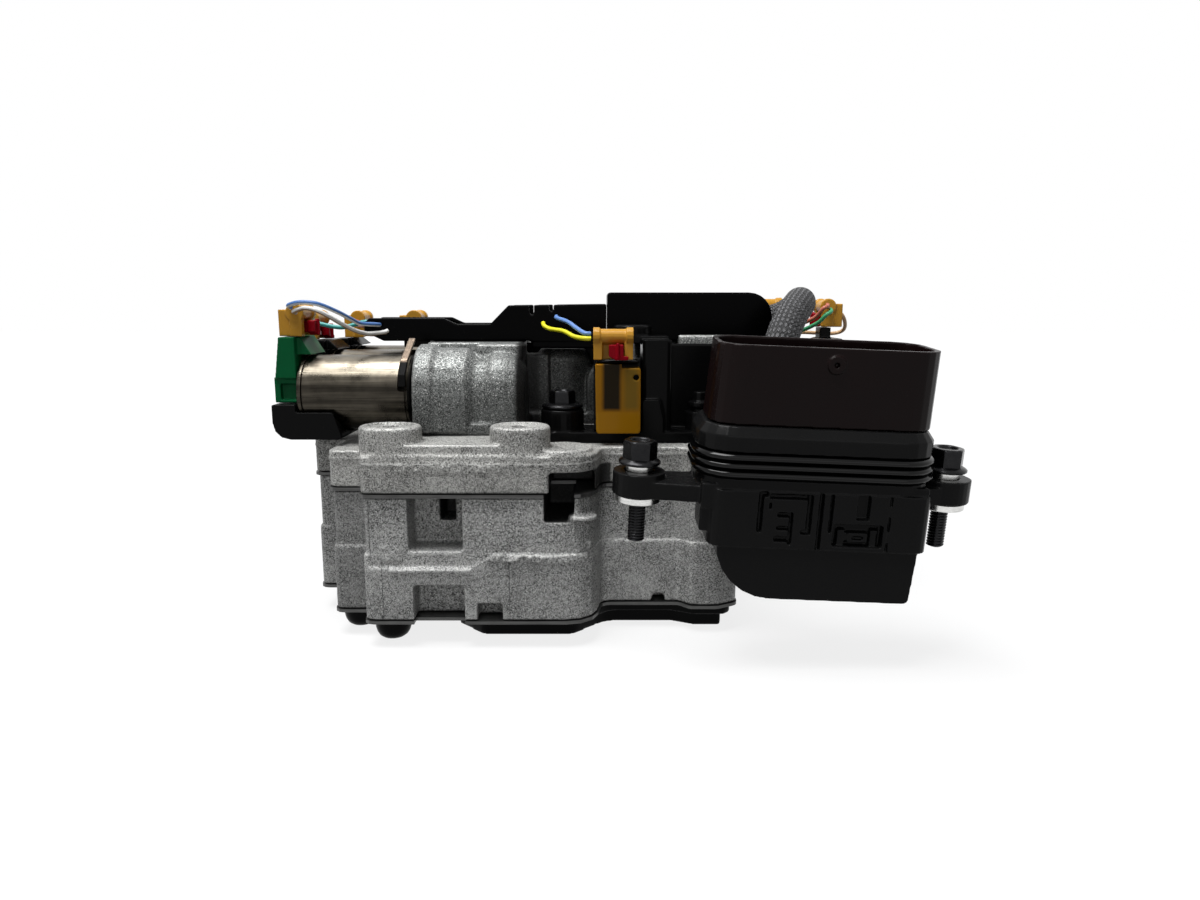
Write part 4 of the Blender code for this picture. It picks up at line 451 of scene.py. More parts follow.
# What shows through the front of the amber cap: (X span, Z span, softness, share, colour)
AMBER_WINDOWS = (
    ((0.0010, 0.0076), (0.0834, 0.1020), 0.0008, 0.97, (0.0022, 0.0024, 0.0004)),
    ((0.0088, 0.0142), (0.0836, 0.0990), 0.0011, 0.70, (0.110, 0.078, 0.010)),
    ((-0.0030, 0.0170), (0.0740, 0.0826), 0.0004, 0.60, (0.300, 0.140, 0.005)),
)


def amber_material():
    """The clear orange cap: the dark core shows through it as an olive window and a paler strip."""
    material, shader, place = material_with("amber_plastic_fine")
    surface = group_outputs(MOULDED, place)
    colour = mix_colour(surface["Tone"], (0.235, 0.098, 0.003), (0.300, 0.135, 0.005))
    for x_span, z_span, soft, share, tint in AMBER_WINDOWS:
        mask = product(window_mask(place, x_span, z_span, soft), share)
        colour = mix_colour(mask, colour, tint)
    coat(shader, colour, 0.16, bump_node(surface["Height"], 0.02, 0.0002), 0.06)
    return material


def uv_along(tree):
    """Share of the way along a tube, and round it."""
    route = tree.nodes.new("ShaderNodeUVMap")
    route.uv_map = "along"
    return part_of(route.outputs["UV"], "X"), part_of(route.outputs["UV"], "Y")


def wire_material(name, colour, stripe=None):
    """Smooth insulation, with a marking stripe along the lead where it has one."""
    material, shader, place = material_with(name)
    tint = noise_node(place, 350.0, 3.0, 0.6)
    base = mix_colour(range_node(tint, 0.3, 0.7, 0.0, 0.30), colour, tuple(c * 0.55 for c in colour))
    if stripe is not None:
        turn = uv_along(place.id_data)[1]
        off = math_node("ABSOLUTE", math_node("SUBTRACT", turn, 0.45))
        base = mix_colour(math_node("LESS_THAN", off, 0.10), base, stripe)
    coat(shader, base, 0.34, bump_node(tint, 0.05, 0.0002), 0.30)
    return material


# Mesh helpers

def cad_bmesh(node):
    """A welded copy of a CAD node's mesh."""
    bm = bmesh.new()
    bm.from_mesh(frame["nodes"][node].data)
    bmesh.ops.remove_doubles(bm, verts=bm.verts, dist=1e-6)
    return bm


def object_from(name, bm):
    mesh = bpy.data.meshes.new(name)
    bm.to_mesh(mesh)
    bm.free()
    obj = bpy.data.objects.new(name, mesh)
    bpy.context.scene.collection.objects.link(obj)
    return obj


def applied(obj):
    """Puts the result of the modifiers into the mesh."""
    graph = bpy.context.evaluated_depsgraph_get()
    mesh = bpy.data.meshes.new_from_object(obj.evaluated_get(graph))
    obj.modifiers.clear()
    old = obj.data
    obj.data = mesh
    bpy.data.meshes.remove(old)
    return obj


def paint(mesh, material):
    mesh.materials.clear()
    mesh.materials.append(material)


def settle(obj, material, node):
    """Gives a piece its material and its body, and lets it stand for this CAD node."""
    paint(obj.data, material)
    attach(obj, BODY_OF[node])
    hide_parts(node)
    return obj


def joined(obj, shapes, operation):
    """Adds or cuts closed shapes, one after the other, while the mesh is still light."""
    for number, shape in enumerate(shapes):
        helper = object_from(f"{obj.name}_{operation.lower()}_{number}", shape)
        modifier = obj.modifiers.new(operation.lower(), "BOOLEAN")
        modifier.operation = operation
        modifier.solver = "EXACT"
        modifier.object = helper
        applied(obj)
        bpy.data.objects.remove(helper, do_unlink=True)
    return obj


def append_shapes(obj, shapes):
    """Puts closed shapes into a mesh as they are; the remesh that follows makes them one skin."""
    bm = bmesh.new()
    bm.from_mesh(obj.data)
    for shape in shapes:
        mesh = bpy.data.meshes.new("join")
        shape.to_mesh(mesh)
        shape.free()
        bm.from_mesh(mesh)
        bpy.data.meshes.remove(mesh)
    bm.to_mesh(obj.data)
    bm.free()


def roughen(obj, amount, marks):
    """Small lumps all over, and the raised or sunk marks asked for at each place."""
    normals = [vertex.normal.copy() for vertex in obj.data.vertices]
    for vertex, normal in zip(obj.data.vertices, normals):
        place = vertex.co.copy()
        lumps = noise.noise(place * 420.0) + 0.6 * noise.noise(place * 1100.0)
        rise = amount * lumps
        if marks is not None:
            rise += marks(place, normal)
        vertex.co = place + normal * rise


def skin(node, material, voxel, rounds=2, keep=0.3, fills=(), cuts=(), joins=(), rough=0.0, marks=None):
    """A finely meshed copy of a CAD node with shapes filled in, cut out and added, and soft edges."""
    obj = object_from(f"{node}_fine", cad_bmesh(node))
    joined(obj, fills, "UNION")
    joined(obj, cuts, "DIFFERENCE")
    append_shapes(obj, joins)
    remesh = obj.modifiers.new("remesh", "REMESH")
    remesh.mode = "VOXEL"
    remesh.voxel_size = voxel
    soften = obj.modifiers.new("soften", "SMOOTH")
    soften.factor = 0.5
    soften.iterations = rounds
    applied(obj)
    if rough:
        roughen(obj, rough, marks)
    thin = obj.modifiers.new("thin", "DECIMATE")
    thin.ratio = keep
    applied(obj)
    obj.data.shade_smooth()
    return settle(obj, material, node)


def bridge(bm, pairs):
    """Faces between each two rings of points; a ring of one point closes an end."""
    for near, far in pairs:
        count = max(len(near), len(far))
        for index in range(count):
            after = (index + 1) % count
            if len(near) == 1:
                bm.faces.new((near[0], far[index], far[after]))
            elif len(far) == 1:
                bm.faces.new((near[index], near[after], far[0]))
            else:
                bm.faces.new((near[index], near[after], far[after], far[index]))
    bmesh.ops.recalc_face_normals(bm, faces=bm.faces)


# Where the plan's u and v and the height w go for a shape that stands along each axis
ALONG = {"X": lambda u, v, w: (w, u, v), "Y": lambda u, v, w: (u, w, v), "Z": lambda u, v, w: (u, v, w)}


def turned(profile, centre=(0, 0, 0), axis="Z", segments=64, flip=1.0):
    """A turned solid from (radius, height) pairs, from axis to axis or a ring clear of it.

    A radius may also be a function of the turn, as for a hexagon or a thread.
    """
    bm = bmesh.new()
    turns = [2 * math.pi * k / segments for k in range(segments)]
    rings = []
    for radius, height in profile:
        reach = [0.0] if radius == 0 else [radius(t) if callable(radius) else radius for t in turns]
        rings.append([
            bm.verts.new(Vector(centre) + Vector(ALONG[axis](
                r * math.cos(t), r * math.sin(t), flip * height)))
            for r, t in zip(reach, turns)])
    pairs = list(zip(rings, rings[1:]))
    if profile[0][0] != 0:
        pairs.append((rings[-1], rings[0]))
    bridge(bm, pairs)
    return bm


def block(x_span, y_span, z_span):
    bm = bmesh.new()
    bmesh.ops.create_cube(bm, size=1.0)
    for vertex in bm.verts:
        for index, (low, high) in enumerate((x_span, y_span, z_span)):
            vertex.co[index] = low if vertex.co[index] < 0 else high
    return bm


def prism(points, low, high, axis="Z"):
    """A closed prism over a plan of (u, v) points."""
    bm = bmesh.new()
    bottom, top = ([bm.verts.new(ALONG[axis](u, v, w)) for u, v in points] for w in (low, high))
    bm.faces.new(bottom)
    bm.faces.new(top)
    bridge(bm, [(bottom, top)])
    return bm


def piece(node, material, bm, degrees, cuts=()):
    """A piece that stands for one CAD node, smooth but for edges sharper than this many degrees."""
    obj = joined(object_from(f"{node}_fine", bm), cuts, "DIFFERENCE")
    obj.data.shade_smooth()
    obj.data.set_sharp_from_angle(angle=math.radians(degrees))
    return settle(obj, material, node)


def smooth_route(points, spacing):
    """Points at even steps along a smooth curve through the route's own points."""
    points = [Vector(p) for p in points]
    ends = [points[0] * 2 - points[1]] + points + [points[-1] * 2 - points[-2]]
    fine = []
    for index in range(1, len(ends) - 2):
        p0, p1, p2, p3 = ends[index - 1:index + 3]
        for step in range(24):
            t = step / 24
            fine.append(0.5 * (
                2 * p1 + (p2 - p0) * t + (2 * p0 - 5 * p1 + 4 * p2 - p3) * t * t
                + (3 * p1 - p0 - 3 * p2 + p3) * t ** 3))
    fine.append(points[-1])
    lengths = [0.0]
    for near, far in zip(fine, fine[1:]):
        lengths.append(lengths[-1] + (far - near).length)
    count = max(2, round(lengths[-1] / spacing))
    route = []
    index = 0
    for step in range(count + 1):
        target = lengths[-1] * step / count
        while index < len(lengths) - 2 and lengths[index + 1] < target:
            index += 1
        share = (target - lengths[index]) / (lengths[index + 1] - lengths[index])
        route.append(fine[index].lerp(fine[index + 1], share))
    return route


def tube_mesh(route, around, radius_at):
    """A tube along a route whose radius is asked for at each (step, turn), with UVs along and around."""
    bm = bmesh.new()
    uv = bm.loops.layers.uv.new("along")
    side = Vector((0, 0, 1))
    rings = []
    for step, here in enumerate(route):
        ahead = route[min(step + 1, len(route) - 1)] - route[max(step - 1, 0)]
        ahead.normalize()
        side = (side - ahead * side.dot(ahead)).normalized()
        other = ahead.cross(side)
        ring = []
        for k in range(around):
            turn = 2 * math.pi * k / around
            out = side * math.cos(turn) + other * math.sin(turn)
            ring.append(bm.verts.new(here + out * radius_at(step, k)))
        rings.append(ring)
    for step in range(len(rings) - 1):
        for k in range(around):
            after = (k + 1) % around
            face = bm.faces.new((rings[step][k], rings[step][after],
                                 rings[step + 1][after], rings[step + 1][k]))
            marks = ((step, k), (step, k + 1), (step + 1, k + 1), (step + 1, k))
            for loop, (s, turn) in zip(face.loops, marks):
                loop[uv].uv = (s / (len(rings) - 1), turn / around)
    bm.faces.new(rings[0])
    bm.faces.new(rings[-1])
    bmesh.ops.recalc_face_normals(bm, faces=bm.faces)
    return bm


def placed(bm, matrix):
    """Moves a shape from a piece's own frame to its place in the world."""
    bmesh.ops.transform(bm, matrix=matrix, verts=bm.verts)
    return bm


def flange_bolt(node, matrix, tip, seat, top, flange, hexagon, threaded):
    """A hexagon flange bolt with a dished head and, where it shows, a real thread."""
    shank = M6_RADIUS - 0.0001
    rim = flange - 0.0004

    def flats(inset=0.0, most=1.0):
        return lambda t: min(most, (hexagon - inset) / math.cos((t % (math.pi / 3)) - math.pi / 6))

    def thread(height):
        def radius(t):
            phase = (height / THREAD_PITCH - t / (2 * math.pi)) % 1.0
            root = max(0.0, 1.0 - abs(2.0 * phase - 1.0) * 1.35)
            return shank - (THREAD_DEPTH - 0.0001) * root
        return radius

    profile = [(0, tip), (M6_RADIUS - 0.0010, tip)]
    if threaded:
        step = THREAD_PITCH / 7
        heights = [tip + 0.0004 + step * k for k in range(int((seat - tip - 0.0022) / step))]
        profile += [(thread(height), height) for height in heights]
    profile += [
        (shank, seat - 0.0016), (shank, seat), (rim, seat), (flange - 0.00005, seat + 0.0003),
        (flange - 0.00005, seat + 0.0009), (rim, seat + 0.0012), (flange - 0.0014, seat + 0.0018),
        (flats(0.0, flange), seat + 0.0019), (flats(), top - 0.0010),
        (flats(0.0, hexagon * 1.09), top - 0.0004), (flats(0.0002, hexagon * 1.02), top - 0.0001),
        (hexagon - 0.0006, top), (hexagon - 0.0013, top), (hexagon - 0.0016, top - 0.0002),
        (hexagon - 0.0019, top - 0.0008), (0, top - 0.0008),
    ]
    piece(node, BOLT, placed(turned(profile, segments=48), matrix), 38)


# Materials of this object's finishes

# Places of the castings darkened by painted shade, in pockets, at the left end of the lower casting and
# over the front of the housing: X span, depths from clean to dark,
# Z span, depths from dark back to clean, how much of the tone the painted shade takes, and how softly it
# ends
POCKET_END = (0.036, 0.033)
WINDOW_END = (0.060, 0.054)
LOWER_PAINTED_SHADE = (
    ((-0.0202, -0.0086), (0.0006, 0.0030), (0.0440, 0.0560), POCKET_END, 0.97, 0.0004),
    ((-0.0588, -0.0526), (0.0075, 0.0100), (0.0440, 0.0560), POCKET_END, 0.97, 0.0004),
    ((-0.0300, -0.0100), (0.0006, 0.0030), (0.0090, 0.0165), POCKET_END, 0.97, 0.0004),
    ((-0.1300, -0.0845), (0.0070, 0.0095), (0.0100, 0.0640), POCKET_END, 0.40, 0.0010),
)
UPPER_PAINTED_SHADE = (((-0.0202, 0.0040), (0.0008, 0.0040), (0.0560, 0.0642), POCKET_END, 0.97, 0.0004),)
HOUSING_PAINTED_SHADE = (
    ((-0.0315, 0.0120), (0.0215, 0.0290), (0.0600, 0.1170), WINDOW_END, 0.78, 0.0010),
    ((-0.0315, -0.0245), (0.0150, 0.0230), (0.0600, 0.1170), WINDOW_END, 0.80, 0.0010),
    ((-0.0900, -0.0230), (0.0, 0.0010), (0.0400, 0.0930), WINDOW_END, 0.54, 0.0100),
)
# Grooves of the lower casting's front, sunk in its skin and darkened by painted shade in its material: (X,
# Z span)
LOWER_GROOVES = ((-0.0818, (0.0320, 0.0540)), (-0.0777, (0.0100, 0.0318)), (-0.0323, (0.0100, 0.0318)))
# Heights at which the halves of the moulds met; the housing's own seam is hidden under it
LOWER_SEAM, UPPER_SEAM, HOUSING_SEAM = 0.0340, 0.0668, 0.0700
CAST_LOWER = cast_material("cast_aluminium_lower", LOWER_SEAM, (0.026, 0.027, 0.026),
                           (0.480, 0.482, 0.470), 0.20, LOWER_PAINTED_SHADE, LOWER_GROOVES)
CAST_UPPER = cast_material("cast_aluminium_upper", UPPER_SEAM, (0.028, 0.028, 0.026),
                           (0.500, 0.498, 0.474), 0.20, UPPER_PAINTED_SHADE)
# The housing's tones are darker than those of the other castings: painted shade
CAST_HOUSING_SHADED = cast_material("cast_aluminium_housing", HOUSING_SEAM, (0.020, 0.022, 0.021),
                             (0.290, 0.302, 0.292), 0.50, HOUSING_PAINTED_SHADE)
BLACK = plastic_material("black_plastic_fine", (0.0024, 0.0024, 0.0025), 0.22, 0.050)
BLACK_BLOCK = plastic_material("connector_plastic_fine", (0.0056, 0.0056, 0.0057), 0.24, 0.060)
BLACK_DEEP = plastic_material("tray_plastic_fine", (0.0005, 0.0005, 0.0006), 0.22, 0.030)
GREEN = plastic_material("green_plastic_fine", (0.0, 0.072, 0.022), 0.32, 0.08)
TAN = plastic_material("tan_plastic_fine", (0.400, 0.200, 0.022), 0.26, 0.14)
RED = plastic_material("red_plastic_fine", (0.190, 0.001, 0.006), 0.26, 0.06)
BROWN = plastic_material("shroud_plastic_fine", (0.0052, 0.0022, 0.0022), 0.26, 0.075, 1300.0, 0.08)
RUBBER = plastic_material("seal_rubber_fine", (0.0006, 0.0006, 0.0007), 0.13, 0.17, bump=0.02, dust=0.02)
# Bottom cover and stack bolts: their near black tone is painted shade for the shadow under the castings
COVER_SHADED = plastic_material("cover_fine", (0.0012, 0.0012, 0.0013), 0.28, 0.045, bump=0.12, dust=0.05)
AMBER = amber_material()
CAN = can_material()
BUSH = metal_material("bush_aluminium_fine", (0.80, 0.80, 0.78), (0.50, 0.50, 0.49), 0.24,
                      (900, 900, 4000))
BOLT = metal_material("bolt_steel_fine", (0.014, 0.014, 0.015), (0.006, 0.006, 0.007), 0.26,
                      (900, 900, 900), 0.08, 0.8)
SPOOL = metal_material("spool_metal_fine", (0.62, 0.62, 0.60), (0.42, 0.42, 0.41), 0.20,
                       (2500, 2500, 60))
SPRING = metal_material("spring_steel_fine", (0.40, 0.40, 0.41), (0.20, 0.20, 0.20), 0.25,
                        (900, 900, 900))
STRAP = strap_material()
PLATE = metal_material("plate_steel_fine", (0.105, 0.105, 0.103), (0.045, 0.045, 0.044), 0.36,
                       (90, 90, 2500), 0.15, 0.8)


# Castings

def band(value, low, high, soft):
    """1 between low and high, falling to 0 over soft on both sides."""
    return max(0.0, min(1.0, (value - low) / soft + 1.0, (high - value) / soft + 1.0))


def patch(place, x_span, z_span, soft=0.0006):
    return band(place.x, *x_span, soft) * band(place.z, *z_span, soft)


def lumps_at(place, scale):
    return 0.5 + noise.noise(place * scale)


# Raised marks of the lower casting's front: (X span, Z span, height)
LOWER_MARKS = (
    ((-0.0385, -0.0220), (0.0325, 0.0345), 0.00125), ((-0.0220, -0.0045), (0.0318, 0.0342), 0.00115),
    ((-0.0040, 0.0450), (0.0362, 0.0386), 0.00100), ((-0.0777, -0.0711), (0.0322, 0.0372), 0.00070),
    ((-0.0099, -0.0089), (0.0390, 0.0520), 0.00080), ((0.0024, 0.0034), (0.0395, 0.0505), 0.00080),
    ((0.0050, 0.0058), (0.0400, 0.0485), 0.00070), ((0.0190, 0.0200), (0.0360, 0.0480), 0.00055),
)
UPPER_MARKS = (((-0.0719, -0.0327), (0.0643, 0.0668), 0.00060),)


def front_marks(place, normal, marks):
    """Rough raised patches of the front face."""
    if normal.y > -0.5 or place.y > FRONT_Y + 0.012:
        return 0.0
    rise = 0.0
    for x_span, z_span, height in marks:
        share = patch(place, x_span, z_span)
        if share > 0.0:
            rise += height * share * (0.35 + 1.5 * lumps_at(place, 900.0) * lumps_at(place, 330.0))
    return rise


def seam_rise(place, normal, level, height):
    """A low ridge round the sides where the halves of the mould met."""
    if abs(normal.z) > 0.6:
        return 0.0
    near = level + 0.0008 * noise.noise(Vector((place.x * 60.0, place.y * 60.0, 3.0)))
    return height * max(0.0, 1.0 - abs(place.z - near) / 0.0008)


def lower_marks(place, normal):
    """The flash line, the rough patches and the scribed grooves of the lower casting."""
    rise = front_marks(place, normal, LOWER_MARKS) + seam_rise(place, normal, 0.0342, 0.00012)
    if normal.y < -0.5:
        for x, z_span in LOWER_GROOVES:
            share = band(place.x, x - 0.0001, x + 0.0001, 0.0005) * band(place.z, *z_span, 0.0006)
            rise -= 0.00045 * share
    return rise


def upper_marks(place, normal):
    """The flash line, its rough patch, and the shallow dish in the top of each boss."""
    rise = front_marks(place, normal, UPPER_MARKS) + seam_rise(place, normal, 0.0672, 0.00030)
    if normal.z > 0.7 and place.z > 0.0785:
        for x in (-0.0747, -0.0285):
            away = math.hypot((place.x - x) / 0.0078, (place.y - depth(0.0098)) / 0.0062)
            rise -= 0.0007 * band(away, -1.0, 1.0, 0.08)
    return rise


def dress_castings():
    lip = turned([(0, 0), (0.0052, 0), (0.0052, 0.0012), (0.0044, 0.0016), (0, 0.0016)],
                 (-0.0062, FRONT_Y + 0.0040, 0.0470), "Z", 48)
    skin("lower_valve_body", CAST_LOWER, 0.00062, 3, 0.33, joins=[lip], rough=0.00004, marks=lower_marks)
    skin("upper_valve_body", CAST_UPPER, 0.00058, 3, 0.36, rough=0.00004, marks=upper_marks)
    skin("solenoid_housing", CAST_HOUSING_SHADED, 0.00062, 3, 0.40, rough=0.00004)


# Mouldings

# Slots in the front of the connector body, in its own frame and in mm: (X span, Z span, depth)
CONNECTOR_SLOTS = (
    ((-13.9, -12.3), (-13.6, 0.0), 2.2), ((-12.5, -10.8), (-1.6, 0.0), 2.2),
    ((-9.8, 3.6), (-2.2, -0.5), 1.8), ((-10.4, -9.6), (-5.8, -0.5), 1.6),
    ((1.9, 3.6), (-13.9, -0.6), 2.1), ((0.3, 2.1), (-13.9, -12.3), 2.0),
    ((-7.6, -3.4), (-8.3, -6.7), 2.2), ((-7.6, -3.4), (-12.6, -11.3), 1.7),
    ((-8.1, -3.4), (-16.6, -14.7), 2.3), ((-3.6, -2.4), (-17.6, -6.6), 1.9),
    ((5.6, 7.1), (-19.2, 0.0), 2.2), ((9.2, 10.3), (-13.0, 0.0), 2.0),
    ((18.0, 22.1), (-8.4, 0.0), 2.6), ((10.8, 27.1), (-17.5, -9.9), 3.0),
    ((28.3, 29.1), (-19.2, 0.0), 1.1), ((31.2, 31.7), (-19.2, 0.0), 0.9),
    ((-29.0, -28.3), (-15.0, 0.0), 1.0),
)
# Shapes that stand in those slots: X span, how far their front and back lie behind the block's, Z span
CLIP = ((15.8, 22.4), (0.6, 3.4), (-16.0, -12.8))
CLIP_NOTCH = ((17.2, 21.0), (0.0, 1.8), (-15.2, -14.0))
SLOT_SHAPES = (
    ((12.6, 15.0), (1.2, 3.4), (-17.8, -12.0)), ((23.2, 25.6), (1.2, 3.4), (-17.8, -11.8)),
    ((-32.2, -26.2), (1.4, 16.0), (-6.8, 1.6)), ((-32.2, -26.6), (2.8, 16.0), (-14.8, -6.0)),
)


def connector_block(x_span, back_span, z_span):
    """A block in the connector's frame from spans in mm; the second is counted back from its front."""
    spans = [[0.001 * value for value in span] for span in (x_span, back_span, z_span)]
    spans[1] = [BLOCK_FRONT + value for value in spans[1]]
    return placed(block(*spans), CONNECTOR_PLACE)


def dress_connector_body():
    """Fills the plain slots of the solid's front, then cuts the slots, window and steps it shows."""
    fill = connector_block((-17.0, 33.0), (0.01, 3.6), (-18.4, -1.2))
    cuts = [connector_block(x_span, (-1.0, deep), z_span) for x_span, z_span, deep in CONNECTOR_SLOTS]
    holder = joined(object_from("clip_holder", connector_block(*CLIP)), [connector_block(*CLIP_NOTCH)],
                    "DIFFERENCE")
    clip = bmesh.new()
    clip.from_mesh(holder.data)
    bpy.data.objects.remove(holder, do_unlink=True)
    skin("connector_body", BLACK_BLOCK, 0.00036, 2, 0.27, fills=[fill], cuts=cuts,
         joins=[clip] + [connector_block(*spans) for spans in SLOT_SHAPES])


def rounded_ring(out, height, steps=10):
    """A ring of points round the connector's oblong plan, pushed out by this much."""
    low_x, high_x = SHROUD_X[0], SHROUD_X[1] - 0.0017
    low_y, high_y = SHROUD_Y
    r = SHROUD_CORNER
    corners = ((high_x - r, high_y - r, 0.0), (low_x + r, high_y - r, 90.0),
               (low_x + r, low_y + r, 180.0), (high_x - r, low_y + r, 270.0))
    ring = []
    for x, y, start in corners:
        for step in range(steps + 1):
            turn = math.radians(start + 90.0 * step / steps)
            ring.append((x + (r + out) * math.cos(turn), y + (r + out) * math.sin(turn), height))
    return ring


def dress_seal():
    """Three round beads of the radial seal, run round the oblong."""
    inside, base, proud, beads = 0.0018, 0.0026, 0.0016, 3
    pitch = (SEAL_Z[1] - SEAL_Z[0]) / beads
    profile = [(inside, SEAL_Z[0])]
    for bead in range(beads):
        for step in range(11):
            share = step / 11
            bulge = math.sin(math.pi * share) ** 0.7
            profile.append((base + proud * bulge, SEAL_Z[0] + pitch * (bead + share)))
    profile += [(base, SEAL_Z[1]), (inside, SEAL_Z[1])]
    bm = bmesh.new()
    rings = [[bm.verts.new(p) for p in rounded_ring(out, height)] for out, height in profile]
    bridge(bm, zip(rings, rings[1:] + rings[:1]))
    piece("connector_seal", RUBBER, placed(bm, CONNECTOR_PLACE), 60)


# Mouldings with their material, voxel size in mm and share of faces kept
MOULDINGS = (
    (BROWN, 0.36, 0.22, "connector_shroud"),
    (BLACK, 0.40, 0.28, "front_bracket"),
    (BLACK_DEEP, 0.45, 0.22, "tray_hood"),
    (BLACK, 0.40, 0.30, "solenoid_1_base"),
    (GREEN, 0.28, 0.35, "solenoid_1_cap"),
    (BLACK, 0.40, 0.30, "solenoid_2_cap solenoid_3_cap solenoid_4_cap"),
    (AMBER, 0.30, 0.30, "front_solenoid_cap"),
    (BLACK, 0.40, 0.30, "front_solenoid_coil"),
    (BLACK, 0.50, 0.30, "pressure_switch"),
    (BLACK, 0.40, 0.30, "temperature_sensor"),
    (TAN, 0.24, 0.35, "solenoid_1_plug front_solenoid_plug"),
    (TAN, 0.30, 0.35, "solenoid_2_plug solenoid_3_plug solenoid_4_plug"),
    (TAN, 0.30, 0.35, "pressure_switch_plug temperature_sensor_plug"),
    (RED, 0.18, 0.35, "solenoid_1_lock front_solenoid_lock"),
    (RED, 0.24, 0.35, "solenoid_2_lock solenoid_3_lock solenoid_4_lock"),
    (STRAP, 0.20, 0.35, "solenoid_1_retainer"),
    (COVER_SHADED, 0.70, 0.28, "bottom_cover"),
)


def dress_mouldings():
    for material, voxel, keep, nodes in MOULDINGS:
        for node in nodes.split():
            skin(node, material, round(0.001 * voxel, 5), 2, keep)
    notches = [block((x - 0.0007, x + 0.0007), (depth(0.0490), depth(0.0520)), (0.1194, 0.1230))
               for x in (-0.0274, -0.0194)]
    # Partly painted shade: a black wall under the tray, put where the shade under the tray shows dark
    shade_skirt = block((-0.0450, 0.0018), (depth(0.0708), depth(0.0719)), (0.0965, 0.1060))
    skin("harness_tray", BLACK_DEEP, 0.00042, 2, 0.30, cuts=notches, joins=[shade_skirt])


# Turned and bent metal

def dress_cans():
    """The crimped solenoid cans, each with a rolled rim and a bead at its mouth."""
    r = CAN_RADIUS
    end = CAN_OUT
    profile = [
        (0, -NOSE_LENGTH), (NOSE_RADIUS - 0.001, -NOSE_LENGTH), (NOSE_RADIUS, -NOSE_LENGTH + 0.001),
        (NOSE_RADIUS, CAN_SEAT), (r - 0.0012, CAN_SEAT), (r - 0.0004, CAN_SEAT + 0.0003),
        (r - 0.00005, CAN_SEAT + 0.0010), (r - 0.0001, CAN_SEAT + 0.0017), (r - 0.0006, CAN_SEAT + 0.0021),
        (r - 0.0006, CAN_SEAT + 0.0023), (r - 0.0003, CAN_SEAT + 0.0026), (r - 0.0003, end - 0.0024),
        (r - 0.0008, end - 0.0022), (r - 0.0008, end - 0.0020), (r - 0.0002, end - 0.0017),
        (r - 0.00005, end - 0.0011), (r - 0.0003, end - 0.0004), (r - 0.0011, end), (r - 0.0020, end),
        (r - 0.0024, end - 0.0005), (0, end - 0.0005),
    ]
    left, right = (-0.0690, 0.0888, -1.0), (0.0530, 0.0916, 1.0)
    places = (left, 0.036), (left, 0.070), (left, 0.104), (right, 0.083)
    for number, ((mouth, height, side), back) in enumerate(places, start=1):
        cuts = [can_slot(mouth, depth(back), height)] if number == 1 else []
        piece(f"solenoid_{number}_can", CAN, turned(profile, (mouth, depth(back), height), "X", 112, side),
              40, cuts)


def can_slot(mouth, y, height):
    """The open slot with round lower corners that the strap leans out of."""
    left, right = mouth - 0.0057, mouth - 0.0020
    low = height + 0.0015
    r = 0.0011
    corner = [math.radians(90.0 * step / 6) for step in range(7)]
    plan = [(left + r - r * math.cos(a), low + r - r * math.sin(a)) for a in corner]
    plan += [(right - r + r * math.sin(a), low + r - r * math.cos(a)) for a in corner]
    plan += [(right, height + 0.018), (left, height + 0.018)]
    return prism(plan, y - 0.018, y - 0.004, "Y")


# Stack screws: X and depth of each
STACK_BOLTS = ((-0.0767, 0.0105), (-0.0920, 0.0235), (0.0700, 0.1020))


def dress_fasteners():
    for side, word, back, ear_low in ((-1, "left", 0.0, -0.0059), (1, "right", 0.0045, -0.0052)):
        matrix = CONNECTOR_PLACE @ Matrix.Translation((side * 0.0520, back, 0.0))
        low, top = ear_low - 0.0026, ear_low + 0.0099
        bore, wall, collar, chamfer = 0.0033, 0.0046, 0.0076, 0.0002
        under = ear_low - 0.0003
        bush = [(bore, low + chamfer), (bore + chamfer, low), (collar - chamfer, low),
                (collar, low + chamfer), (collar, under - chamfer), (collar - chamfer, under),
                (wall, under), (wall, top - chamfer), (wall - chamfer, top), (bore + chamfer, top),
                (bore, top - chamfer)]
        piece(f"connector_bush_{word}", BUSH, placed(turned(bush), matrix), 32)
        seat = top + 0.0003
        flange_bolt(f"connector_bolt_{word}", matrix, seat - 0.0270, seat, seat + 0.0080, 0.0071, 0.0050,
                    True)
    flange_bolt("bracket_bolt", Matrix.Translation((-0.0145, depth(0.0365), 0.0)), 0.0706, 0.0827, 0.0894,
                0.0080, 0.0044, False)
    head, seat, shank = 0.0066, 0.0085, 0.0030
    profile = [(0, 0.0003), (head * 0.40, 0.0003), (head * 0.62, 0.0007), (head * 0.80, 0.0016),
               (head * 0.92, 0.0030), (head * 0.985, 0.0046), (head, 0.0060), (head, seat),
               (shank, seat), (shank, seat + 0.0560), (0, seat + 0.0560)]
    for number, (x, y) in enumerate(STACK_BOLTS, start=1):
        piece(f"stack_bolt_{number}", COVER_SHADED, turned(profile, (x, depth(y), 0.0), "Z", 48), 32)


# The regulator's spring: turns, coil and wire radius, and rise between the end coils' centres
SPRING_TURNS = 3
SPRING_RADIUS = 0.0043
SPRING_WIRE = 0.0006
SPRING_RISE = 0.0108


